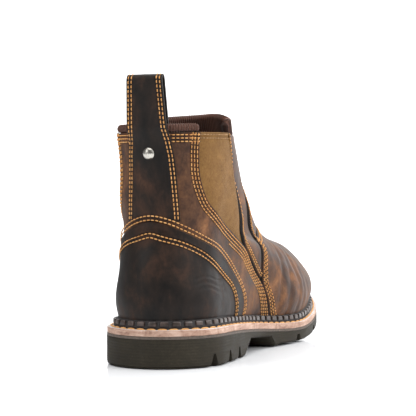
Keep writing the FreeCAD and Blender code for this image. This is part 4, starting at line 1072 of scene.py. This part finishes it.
def add_front_shaft():
    start, end = seam(STRIP_REAR), seam(STRIP_FRONT)
    whole = patch(straight(start(0), end(0)), straight(start(1), end(1)), start, end)
    edge = traced(start, 300)
    rows = [inset(edge, -d) for d in (1.7, 4.0)]

    def relief(points, u, t):
        return 0.3 * lumps(points, 20, 11.0) + 0.15 * lumps(points, 6, 12.0)

    for side, flip in (("lateral", False), ("medial", True)):
        place = flipped(whole) if flip else whole
        sign = -1 if flip else 1
        grooves = [(sign * u, t) for u, t in rows]
        piece = slab("side_strip_leather_" + side, place, FRONT_STRIP_DEPTH, BROWN, fine=(7, 3, 0, 0),
                     rows=grooves, relief=relief, soften=0.8)
        on_front(piece, "brown_leather", "side_strip_" + side)
        sewn("side_strip_seam_" + side, grooves, ride=on_front)

    side = seam(PANEL_SIDE)
    foot = arched(side(0), THROAT + 0.006, 1.0)
    place = patch(foot, straight(side(1), mirrored(side, 1)(1)), side, mirrored(side, 1))
    edge = traced(side, 200)
    rows = [inset(edge, -d) for d in (1.8, 4.2)]
    rows += [(2 - u, t) for u, t in rows]
    piece = slab("front_panel_leather", place, LEATHER, BROWN, fine=(7, 7, 3, 3), rows=rows, relief=relief)
    on_front(piece, "brown_leather", "front_panel")
    sewn("front_panel_seam", rows, ride=on_front)

    add_front_collar()


def add_front_collar():
    """Ribbed knit rim in front, higher over the instep than beside the gussets."""
    low_u, low_t = locate(79, FRONT_RIM + 0.4)
    columns, high, rim_steps = 700, 16, 12
    u = np.linspace(low_u, 2 - low_u, columns)
    foot = np.full(columns, low_t)
    run = run_of(on_upper(u, foot, -3.0))
    end = np.minimum(run, run[-1] - run)
    level = front_height_at(u, FRONT_RIM + 0.4)
    top_z = FRONT_RIM + 6.2 + 6.8 * ease(end / 62) + 2.2 * ease(end / 9) + 0.35 * np.sin(run / 7)
    top = front_height_at(u, top_z)
    rib = 0.30 * np.cos(run * 2 * math.pi / 1.9)
    outer, inner = -0.75, -5.75
    half = (outer - inner) / 2
    rows = []
    for f in np.linspace(0, 1, high):
        rows.append(on_upper(u, level + (top - level) * f, outer + rib * 0.8))
    for angle in np.linspace(0, math.pi, rim_steps)[1:-1]:
        lifted = on_upper(u, top, (outer + inner) / 2 + (half + rib * 0.8) * math.cos(angle))
        rows.append(lifted + np.array([0, 0, 1.0]) * ((half * 0.95 + rib) * math.sin(angle))[:, None])
    for f in np.linspace(1, 0, high):
        rows.append(on_upper(u, level + (top - level) * f, inner - rib * 0.8))
    points = np.stack(rows)
    points[:, 1:-1] += 0.12 * lumps(points[:, 1:-1], 8, 13.0)[..., None]
    around = run_of(points[:, columns // 2])
    uv = np.stack(np.broadcast_arrays(run[None, :] / 100, around[:, None] / 100), axis=-1)
    count = len(rows)
    faces = grid_faces(count, columns, wrap_rows=True)
    caps = []
    for column in (0, columns - 1):
        for k in range(count // 2 - 1):
            quad = [k * columns, (k + 1) * columns, (count - 2 - k) * columns, (count - 1 - k) * columns]
            quad = [q + column for q in quad]
            caps.append(quad if column else quad[::-1])
    faces = np.concatenate([faces, np.array(caps)])
    piece = new_piece("front_collar_rim", points.reshape(-1, 3), faces, COLLAR_KNIT, uv.reshape(-1, 2))
    on_front(piece, "collar_knit", "front_collar_knit")


def front_height_at(u, z):
    """Heights t of the surface at places u whose drawn height is z."""
    columns = np.asarray(u) % 2 * U_STEPS
    z = np.broadcast_to(z, columns.shape)
    return np.array([np.interp(height, DRAWN[:, int(c) % (2 * U_STEPS), 2], LEVELS)
                     for c, height in zip(columns, z)])


def add_rear_collar():
    """Rolled knit rim behind, a thick ribbed tube."""
    roll = 3.0
    centre_z = RIM + roll + 0.15
    rim_u, rim_t = locate(QUARTER_FRONT[-1][0], centre_z)
    back_t = back_height(centre_z)
    stations, sides = 620, 30
    f = np.linspace(-1, 1, stations)
    u, t = f * rim_u, back_t + (rim_t - back_t) * np.abs(f)
    spine, out = on_upper(u, t, -roll - 0.15), unit(look_up(NORMALS, u, t))
    run = run_of(spine)
    along = unit(np.gradient(spine, axis=0))
    up = unit(np.cross(out, along))
    up *= np.sign(up[:, 2:3])
    angle = np.arange(sides) * 2 * math.pi / sides
    ends = np.clip(np.minimum(run, run[-1] - run) / roll, 0, 1)
    taper = np.sqrt(np.clip(1 - (1 - ends) ** 2, 0.0004, 1))
    rib = 1 + 0.07 * np.cos(run * 2 * math.pi / 1.9)
    radius = roll * 0.97 * (taper * rib)[:, None]
    ring = out[:, None] * (np.cos(angle)[:, None]) + up[:, None] * (np.sin(angle)[:, None])
    points = spine[:, None] + ring * radius[:, :, None]
    points += 0.16 * lumps(points, 9, 14.0)[..., None]
    uv = np.stack(np.broadcast_arrays(run[:, None] / 100, (angle * roll)[None, :] / 100), axis=-1)
    faces = grid_faces(stations, sides, wrap_columns=True)
    piece = new_piece("rear_collar_rim", points.reshape(-1, 3), faces, COLLAR_KNIT, uv.reshape(-1, 2))
    on_boot(piece, "collar_knit", "rear_collar_knit")


# ------------------------------------------------------------------ back strap and pull loop

LOOP_HEIGHT, LOOP_DEPTH, LOOP_TOP_DEPTH, LOOP_TILT = 37.0, 10.4, 7.4, math.radians(8.5)
STRAP_THICKNESS = 1.9


def strap_path():
    """The strap's middle line as (points, half widths, the loop's hinge point): up the back, over the loop
    and down inside the collar. It lies in the boot's middle plane."""
    heights = np.linspace(BAND_OUTER_BACK + 1.0, COLLAR_TOP - 1.5, 30)
    low = np.array([back_height(z) for z in heights])
    outside = on_upper(np.zeros(30), low, (OVERLAY[0] + OVERLAY[1]) / 2)
    widths = np.interp(heights, [heights[0], 150.0, heights[-1]], [21.5, 18.3, 15.4])
    hinge = on_upper(0.0, back_height(COLLAR_TOP), (OVERLAY[0] + TAB[1]) / 2)
    foot, top = LOOP_DEPTH / 2 - STRAP_THICKNESS / 2, LOOP_TOP_DEPTH / 2 - STRAP_THICKNESS / 2
    rise = LOOP_HEIGHT - LOOP_TOP_DEPTH / 2
    leg = np.linspace(6.0, rise, 12)
    turn = np.linspace(0, math.pi, 13)[1:-1]
    half = foot + (top - foot) * leg / rise
    flat = np.concatenate([np.column_stack([-half, leg]),
                           np.column_stack([-top * np.cos(turn), rise + top * np.sin(turn)]),
                           np.column_stack([half[::-1], leg[::-1]])])
    lean = np.array([[math.cos(LOOP_TILT), -math.sin(LOOP_TILT)],
                     [math.sin(LOOP_TILT), math.cos(LOOP_TILT)]])
    flat = flat @ lean.T
    loop = np.column_stack([hinge[0] + flat[:, 0], np.full(len(flat), hinge[1]), hinge[2] + flat[:, 1]])
    down = np.linspace(COLLAR_TOP - 1.5, TAB_FOOT, 12)
    inside = on_upper(np.zeros(12), np.array([back_height(z) for z in down]), (TAB[0] + TAB[1]) / 2)
    rough = np.concatenate([outside, loop, inside])
    narrow = np.concatenate([np.linspace(15.0, 13.6, len(leg)), np.full(len(turn), 13.5),
                             np.linspace(13.4, 13.6, len(leg) + len(inside))])
    half_width = np.concatenate([widths, narrow])
    run = run_of(rough)
    even = np.linspace(0, run[-1], 190)
    knots = np.linspace(0, run[-1], len(rough))
    line = at_run(rough, run, even)
    for _ in range(3):
        line[1:-1] = (line[:-2] + 2 * line[1:-1] + line[2:]) / 4
    return line, np.interp(even, run, half_width), hinge


def add_strap():
    line, half, hinge = strap_path()
    count = len(line)
    run = run_of(line)
    along = unit(np.gradient(line, axis=0))
    out = unit(np.cross(along, np.array([0.0, 1.0, 0.0])))
    if out[5, 0] > 0:
        out = -out
    # Below the collar the strap wraps the heel's curve; above it, it is flat.
    across = graded(2 * half.mean(), 1.6, 7, 7)
    share = across * 2 - 1
    offset = share[None, :] * half[:, None]
    curve = 1 - ease((line[:, 2] - 160) / 12)
    wrap_t = np.array([back_height(min(z, COLLAR_TOP)) for z in line[:, 2]])
    half_run = [run_of(SURFACE[int(t * (T_ROWS - 1)), :U_STEPS + 1])[-1] for t in wrap_t]
    u_scale = 1 / np.array(half_run)[:, None]
    wrapped_points = on_upper(offset * u_scale, wrap_t[:, None] * np.ones_like(offset), 0.0)
    middle_points = on_upper(np.zeros_like(offset), wrap_t[:, None] * np.ones_like(offset), 0.0)
    bend = (wrapped_points - middle_points)
    flat = np.stack([np.zeros_like(offset), offset * -1, np.zeros_like(offset)], axis=-1)
    curled = curve[:, None, None] * bend + (1 - curve)[:, None, None] * flat
    normals = unit(look_up(NORMALS, offset * u_scale, wrap_t[:, None] * np.ones_like(offset)))
    inner_leg = (np.arange(count) > np.argmax(line[:, 2]))[:, None, None]
    normals = np.where(inner_leg, -normals, normals)
    facing = unit(curve[:, None, None] * normals + (1 - curve)[:, None, None] * out[:, None, :])
    middle = line[:, None, :] + curled
    edge = np.minimum(half[:, None] - np.abs(offset), np.minimum(run, run[-1] - run)[:, None])
    sewn_rows = (1.6, 4.0)
    depth = np.full(offset.shape, STRAP_THICKNESS / 2)
    for distance in sewn_rows:
        depth -= GROOVE * np.exp(-((edge - distance) / GROOVE_WIDTH) ** 2)
    depth += 0.22 * lumps(middle, 14, 15.0) * ease(edge / 5)
    soften = 0.6
    roll = np.clip(soften - edge, 0, soften)
    depth -= soften - np.sqrt(soften ** 2 - roll ** 2)
    top = middle + facing * depth[..., None]
    under = middle - facing * (STRAP_THICKNESS / 2 - 0.1)
    columns = len(share)
    size = count * columns
    index = np.arange(size).reshape(count, columns)
    rim = np.concatenate([index[:-1, 0], index[-1, :-1], index[:0:-1, -1], index[0, :0:-1]])
    after = np.roll(rim, -1)
    wall = np.stack([rim, rim + size, after + size, after], axis=1)
    upper_faces = grid_faces(count, columns)
    faces = np.concatenate([upper_faces, upper_faces[:, ::-1] + size, wall])
    points = np.concatenate([top.reshape(-1, 3), under.reshape(-1, 3)])
    a, b, c, d = (points[k] for k in upper_faces[columns * 3])
    if np.cross(b - a, d - a) @ facing[3, 0] < 0:
        faces = faces[:, ::-1]
    uv = np.stack(np.broadcast_arrays(offset / 100, run[:, None] / 100), axis=-1).reshape(-1, 2)
    marks = {"edge": np.tile(edge.ravel(), 2)}
    piece = new_piece("pull_strap", points, faces, DARK, np.tile(uv, (2, 1)), marks, sharp=60)
    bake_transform(piece)
    stands_for(piece, "dark_leather", "back_strip", "pull_loop", "loop_inner_tab")

    lines = []
    stop = int(np.argmax(line[:, 2])) + 8
    for side in (-1, 1):
        for distance in sewn_rows:
            target = side * (half - distance) / half
            where = [np.interp(target[k], share, np.arange(columns)) for k in range(count)]
            low = np.floor(where).astype(int).clip(0, columns - 2)
            f = (np.array(where) - low)[:, None]
            rows = np.arange(count)
            sewn_line = top[rows, low] * (1 - f) + top[rows, low + 1] * f
            sewn_out = unit(facing[rows, low] * (1 - f) + facing[rows, low + 1] * f)
            keep = slice(1, stop)
            fine = np.linspace(0, run_of(sewn_line[keep])[-1], 900)
            lines.append((at_run(sewn_line[keep], run_of(sewn_line[keep]), fine),
                          unit(at_run(sewn_out[keep], run_of(sewn_line[keep]), fine))))
    seams = stitches_on(lines, THREAD_LOOK, HOLE_LOOK, "pull_strap_seam")
    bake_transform(seams)


# ------------------------------------------------------------------ sole unit

WELT_LOW, MIDSOLE_LOW = -4.6, -6.475


def add_welt():
    section = [(-0.36, 0.0), (0.2, 0.0), (0.7, 0.0), (0.9, 0.0), (0.94, -0.08), (0.962, -0.32), (0.97, -0.75),
               (0.972, -1.6), (0.97, -2.5), (0.971, -3.4), (0.968, -4.1), (0.95, -4.5), (0.90, WELT_LOW),
               (0.2, WELT_LOW), (-0.36, WELT_LOW)]
    on_boot(swept_band("welt_band", section, WELT_LOOK, wobble=0.10), "welt_edge", "welt")


def add_rand():
    """Notched storm rand: a strip along the upper's foot with a bead between each two notches."""
    strip = [(0.30, 0.1), (0.56, 0.1), (0.57, 0.4), (0.56, 2.2), (0.51, 3.2), (0.44, 5.6), (0.30, 6.4)]
    on_boot(swept_band("rand_strip", strip, GAP_LOOK, wobble=0.08), "rand_rubber", "storm_rand")
    pitch, reach = 8.6, 0.50
    loop = sole_outline(reach, 1600)
    path = placed(np.column_stack([loop, welt_top(loop[:, 0])]))
    closed = np.concatenate([path, path[:1]])
    run = run_of(closed)
    number = int(round(run[-1] / pitch))
    long, wide, tall, lift = 6.0, 2.6, 3.2, 2.5
    around = np.linspace(-1, 1, 9)
    rounded = np.sign(around) * (1 - (1 - np.abs(around)) ** 1.6)
    angle = np.linspace(0, math.pi, 9)
    points, faces = [], []
    count = 0
    for k in range(number):
        s = run[-1] * (k + 0.5) / number + rounded * long / 2
        centre = at_run(closed, run, s % run[-1])
        before, after = (at_run(closed, run, (s[4:5] + step) % run[-1]) for step in (-0.5, 0.5))
        ahead = unit(after - before)[0]
        up = np.array([0, 0, 1.0])
        side = unit(np.cross(ahead, up))
        swell = np.clip(1 - np.abs(around) ** 6, 0.02, 1) ** 0.5
        square = 0.55
        y = np.sign(np.cos(angle)) * np.abs(np.cos(angle)) ** square * wide / 2
        z = np.abs(np.sin(angle)) ** square * tall
        ring = (centre[:, None] + side * (y[None, :, None] * swell[:, None, None])
                + up * (z[None, :, None] * (0.25 + 0.75 * swell[:, None, None]) + lift))
        points.append(ring.reshape(-1, 3))
        size = ring.shape[0] * ring.shape[1]
        rows, columns = ring.shape[:2]
        shell = grid_faces(rows, columns)
        belly = np.array([(i * columns + columns - 1, (i + 1) * columns + columns - 1, (i + 1) * columns,
                           i * columns) for i in range(rows - 1)])
        ends = []
        for base in (0, (rows - 1) * columns):
            last = base + columns - 1
            order = [(base + j, last - j, last - 1 - j, base + j + 1) for j in range(3)]
            ends += order if base else [q[::-1] for q in order]
        faces.append(np.concatenate([shell, belly, np.array(ends)]) + count)
        count += size
    piece = new_piece("rand_beads", np.concatenate(points), np.concatenate(faces), RAND_LOOK, sharp=50)
    on_boot(piece, "rand_rubber")


def add_welt_thread():
    loop = sole_outline(0.72, 2400)
    path = placed(np.column_stack([loop, welt_top(loop[:, 0])]))
    closed = np.concatenate([path, path[:1]])
    up = np.tile(np.array([0, 0, 1.0]), (len(closed), 1))
    piece = stitches_on([(closed, up)], THREAD_LOOK, HOLE_LOOK, "welt_thread", length=7.5, pitch=8.1,
                        thread=0.72, rise=0.4, hole=0.7)
    on_boot(piece, "thread", "welt_stitching")


BREAST = [(91, 0), (107, 11.6)]
WAIST_END = (149, 8.4)
TREAD = np.array([(155, 0.9), (172, 0), (195, 0), (222, 1.6), (250, 5.4), (282, 11.6), (318, 21)])
HEEL_NOTCHES, FORE_NOTCHES = (29, 54, 76), (190, 233, 268, 295)
TREAD_GROOVES = np.arange(168, 305, 14.0)
HEEL_GROOVES = (18, 36, 54, 72)


def ground_height(x):
    """Height of the outsole's underside along the boot, before grooves and notches."""
    x = np.asarray(x, float)
    profile = np.array(BREAST + [WAIST_END, tuple(TREAD[0])])
    tread = np.maximum(spline(TREAD[:, 0], TREAD[:, 1], np.clip(x, TREAD[0, 0], TREAD[-1, 0])), 0)
    return np.where(x > TREAD[0, 0], tread, np.interp(x, profile[:, 0], profile[:, 1]))


def notch_height(x, inset_distance):
    """How far a side notch rises: narrow at its top, and closed 9 mm in from the edge."""
    height = np.zeros(np.broadcast(x, inset_distance).shape)
    for centre, half, top in [(c, 3.6, 8.6) for c in HEEL_NOTCHES] + [(c, 4.2, 8.0) for c in FORE_NOTCHES]:
        away = np.abs(x - centre)
        rise = top * (1 - np.clip((away - 0.9) / (half - 0.9), 0, 1))
        height = np.maximum(height, rise * (inset_distance < 9.2))
    return height


def add_outsole():
    row = RINGS[0] + FOOT_TO_EDGE
    stations = [np.linspace(1.5, 312 - 1.5, 130)]
    for c in HEEL_NOTCHES + FORE_NOTCHES:
        stations.append(c + np.array([-4.2, -3.6, -2.8, -2.0, -1.3, -0.9, 0.9, 1.3, 2.0, 2.8, 3.6, 4.2]))
    for c in list(TREAD_GROOVES) + list(HEEL_GROOVES):
        stations.append(c + np.array([-3.0, -2.6, -2.1, 2.1, 2.6, 3.0]))
    stations.append(np.array([91, 99, 107, 107.6, 149, 152, 155, 155.8]))
    tip = 1.5 * (1 - np.cos(np.linspace(0, math.pi / 2, 7)))
    stations += [tip, 312 - tip]
    x = np.unique(np.round(np.concatenate(stations), 3))
    x = x[np.concatenate([[True], np.diff(x) > 0.16])]
    sides = []
    for side in (-1, 1):
        half = half_ring(row, side, 400)
        sides.append(np.interp(x, half[:, 0], half[:, 1]))
    lateral, medial = sides
    width = medial - lateral
    inset_marks = np.array([0.0, 0.35, 0.9, 1.8, 3.6, 6.0, 8.6, 9.1, 9.35, 9.8, 12.0, 15.0, 18.0, 21.5, 25.0])
    shrink = np.minimum(1, width / (2 * inset_marks[-1] + 8))
    left = inset_marks[None, :] * shrink[:, None]
    inner = np.linspace(0, 1, 8)[1:-1]
    gap = (width - 2 * left[:, -1])[:, None]
    across = [left, left[:, -1:] + gap * inner, width[:, None] - left[:, ::-1]]
    y = lateral[:, None] + np.concatenate(across, axis=1)
    away = np.minimum(y - lateral[:, None], medial[:, None] - y)
    grid_x = x[:, None] * np.ones_like(y)
    ground = ground_height(grid_x)
    for c in TREAD_GROOVES:
        ground = np.where((np.abs(grid_x - c) < 2.5) & (away > 9.5), ground + 3.5, ground)
    for c in HEEL_GROOVES:
        ground = np.where((np.abs(grid_x - c) < 2.5) & (away > 12.5), 3.5, ground)
    ends = np.minimum(grid_x, 312 - grid_x)
    bevel = 0.9 * (1 - ease(np.minimum(away, ends) / 1.6))
    edge_lift = np.where(grid_x > 160, 1.2 * (1 - ease((away - 1.0) / 9.0)), 0.0)
    edge_lift = edge_lift * (1 - ease((grid_x - 262) / 40))
    ground = ground + np.maximum(bevel, notch_height(grid_x, away)) + edge_lift
    top = welt_top(x) + MIDSOLE_LOW - 0.15
    ground = np.minimum(ground, top[:, None] - 3.0)
    bottom = placed(np.stack([grid_x, y, ground], axis=-1))
    columns = y.shape[1]
    levels = np.array([0.0, 0.02, 0.06, 0.14, 0.26, 0.4, 0.55, 0.7, 0.85, 0.97, 1.0])
    shape = 0.0035
    walls = []
    for column, outward in ((0, -1), (-1, 1)):
        low = ground[:, column]
        z = low[:, None] + (top - low)[:, None] * levels[None, :]
        push = np.interp(levels, [0, 0.02, 0.06, 0.97, 1.0], [-0.75, -0.3, 0.0, 0.0, -0.35])
        wall_x = 156 + (x[:, None] - 156) * (1 + push[None, :] * shape)
        wall_y = y[:, column][:, None] + outward * push[None, :] * np.minimum(1, width / 30)[:, None]
        walls.append(placed(np.stack([wall_x + 0 * z, wall_y + 0 * z, z], axis=-1)))
    bottom[:, 0], bottom[:, -1] = walls[0][:, 0], walls[1][:, 0]
    lid = np.linspace(0, 1, 5)[1:-1]
    share = lid[None, :, None]
    cover = walls[0][:, -1][:, None] * (1 - share) + walls[1][:, -1][:, None] * share
    # Round each station: bottom from outer to inner edge, up the inner wall, over the top, down the outer.
    loop = np.concatenate([bottom, walls[1][:, 1:], cover[:, ::-1], walls[0][:, :0:-1]], axis=1)
    size = loop.shape[1]
    faces = grid_faces(len(x), size, wrap_columns=True)
    points = loop.reshape(-1, 3)
    caps = []
    for base, flip in ((0, False), ((len(x) - 1) * size, True)):
        for k in range(size // 2 - 1):
            quad = (base + k, base + k + 1, base + size - 2 - k, base + size - 1 - k)
            caps.append(quad[::-1] if flip else quad)
    faces = np.concatenate([faces, np.array(caps)])
    piece = new_piece("outsole_lugged", points, faces, RUBBER, sharp=38)
    on_boot(piece, "sole_rubber", "outsole")


def add_footbed():
    """Cloth-topped footbed, cupped a little round its edge."""
    rings, shares = 26, None
    reach_edge = -0.76
    loop = sole_outline(reach_edge, 240)
    middle = np.column_stack([np.clip(loop[:, 0], 45, 262), np.interp(loop[:, 0], [0, 312], [0, 8])])
    base = 0.075 * 3 + 0.6 + 2.2 + 0.05
    points = []
    for k in range(rings):
        f = (k / (rings - 1)) ** 0.8
        plan = middle + (loop - middle) * f * 0.995
        lift = 5.0 - 0.9 * (1 - f ** 3) - 1.2 * max(0, f - 0.96) / 0.04
        points.append(placed(np.column_stack([plan, welt_top(plan[:, 0]) + base + lift])))
    plan = loop
    points.append(placed(np.column_stack([plan, welt_top(plan[:, 0]) + base + 0.1])))
    points = np.stack(points)
    floor_middle = placed(np.column_stack([middle, welt_top(middle[:, 0]) + base + 0.1]))
    points = np.concatenate([points, floor_middle[None]])
    faces = grid_faces(len(points), 240, wrap_rows=True, wrap_columns=True)
    uv = points.reshape(-1, 3)[:, :2] / 100
    piece = new_piece("footbed_cushion", points.reshape(-1, 3), faces, FOOTBED_LOOK, uv, sharp=50)
    on_boot(piece, "footbed_foam", "footbed")


TAN_THREAD = flecked("gusset_thread", (0.20, 0.10, 0.04), (0.42, 0.26, 0.12), 300, 0.8, 0.1)

add_outsole()
add_welt()
add_rand()
add_welt_thread()
add_footbed()
add_quarters()
add_vamp()
add_counter()
add_linings()
add_gussets()
add_front_shaft()
add_rear_collar()
add_strap()

# ------------------------------------------------------------------ floor, light and camera

def plain_sheet(name, corners, look):
    mesh = bpy.data.meshes.new(name)
    mesh.from_pydata(corners, [], [(0, 1, 2, 3)])
    mesh.materials.append(look.material)
    sheet = bpy.data.objects.new(name, mesh)
    bpy.context.scene.collection.objects.link(sheet)
    return sheet


FLOOR_HALF, FLOOR_Z, WALL_HIGH = 6.0, -0.0004, 5.0
floor_look = Look("floor", Specular_IOR_Level=0.20, Roughness=0.08, Base_Color=(0.93, 0.94, 0.96, 1))
plain_sheet("floor", [(-FLOOR_HALF, -FLOOR_HALF, FLOOR_Z), (FLOOR_HALF, -FLOOR_HALF, FLOOR_Z),
                      (FLOOR_HALF, FLOOR_HALF, FLOOR_Z), (-FLOOR_HALF, FLOOR_HALF, FLOOR_Z)], floor_look)
# A white wall beyond the toe, bright enough to leave no line where it meets the floor.
wall_look = Look("wall", Specular_IOR_Level=0.0, Base_Color=(0.9, 0.9, 0.9, 1), Emission_Strength=1.0,
                 Emission_Color=(1, 1, 1, 1))
WALL_X, WALL_HALF = 2.2, 2.6
plain_sheet("wall", [(WALL_X - 1.0, -WALL_HALF, FLOOR_Z), (WALL_X + 1.0, WALL_HALF, FLOOR_Z),
                     (WALL_X + 1.0, WALL_HALF, WALL_HIGH), (WALL_X - 1.0, -WALL_HALF, WALL_HIGH)], wall_look)

world = bpy.data.worlds.new("studio")
world.use_nodes = True
world.node_tree.nodes["Background"].inputs["Color"].default_value = (1.0, 1.0, 1.0, 1)
world.node_tree.nodes["Background"].inputs["Strength"].default_value = 0.30
bpy.context.scene.world = world


def soft_light(name, place, aim, width, height, power):
    data = bpy.data.lights.new(name, "AREA")
    data.shape = "RECTANGLE"
    data.size, data.size_y, data.energy = width, height, power
    lamp = bpy.data.objects.new(name, data)
    lamp.location = place
    lamp.rotation_euler = (Vector(aim) - Vector(place)).to_track_quat("-Z", "Y").to_euler()
    bpy.context.scene.collection.objects.link(lamp)


soft_light("overhead", (0.1, -0.1, 1.7), (0, 0, 0), 2.6, 2.6, 62)
soft_light("outer_side", (-0.1, -1.5, 0.9), (0, 0, 0.09), 0.9, 0.7, 17)
soft_light("heel_side", (-1.3, 0.9, 0.8), (0, 0, 0.1), 0.5, 0.9, 8)

# Camera: the boot seen from behind, a little to its outer side, at the height of its collar.
LOOK_AT = Vector((-0.036, -0.00298, 0.100))
AZIMUTH, ELEVATION, ROLL = math.radians(-68.773), math.radians(2.074), math.radians(-0.523)
DISTANCE, ASIDE, ABOVE = 1.22534, 0.00249, 0.00987
FOCAL_SHARE = 3.812

back = Vector((math.sin(AZIMUTH) * math.cos(ELEVATION), -math.cos(AZIMUTH) * math.cos(ELEVATION),
               math.sin(ELEVATION)))
right = (-back).cross(Vector((0, 0, 1))).normalized()
upward = right.cross(-back)
camera_data = bpy.data.cameras.new("camera")
camera_data.sensor_width = 36.0
camera_data.lens = 36.0 * FOCAL_SHARE
camera_data.clip_start, camera_data.clip_end = 0.05, 50.0
camera = bpy.data.objects.new("camera", camera_data)
camera.location = LOOK_AT + back * DISTANCE
aim = LOOK_AT + right * ASIDE + upward * ABOVE
turn = (aim - camera.location).to_track_quat("-Z", "Y").to_matrix().to_4x4()
camera.rotation_euler = (turn @ Matrix.Rotation(ROLL, 4, "Z")).to_euler()
bpy.context.scene.collection.objects.link(camera)
bpy.context.scene.camera = camera
bpy.context.scene.view_settings.view_transform = "Standard"
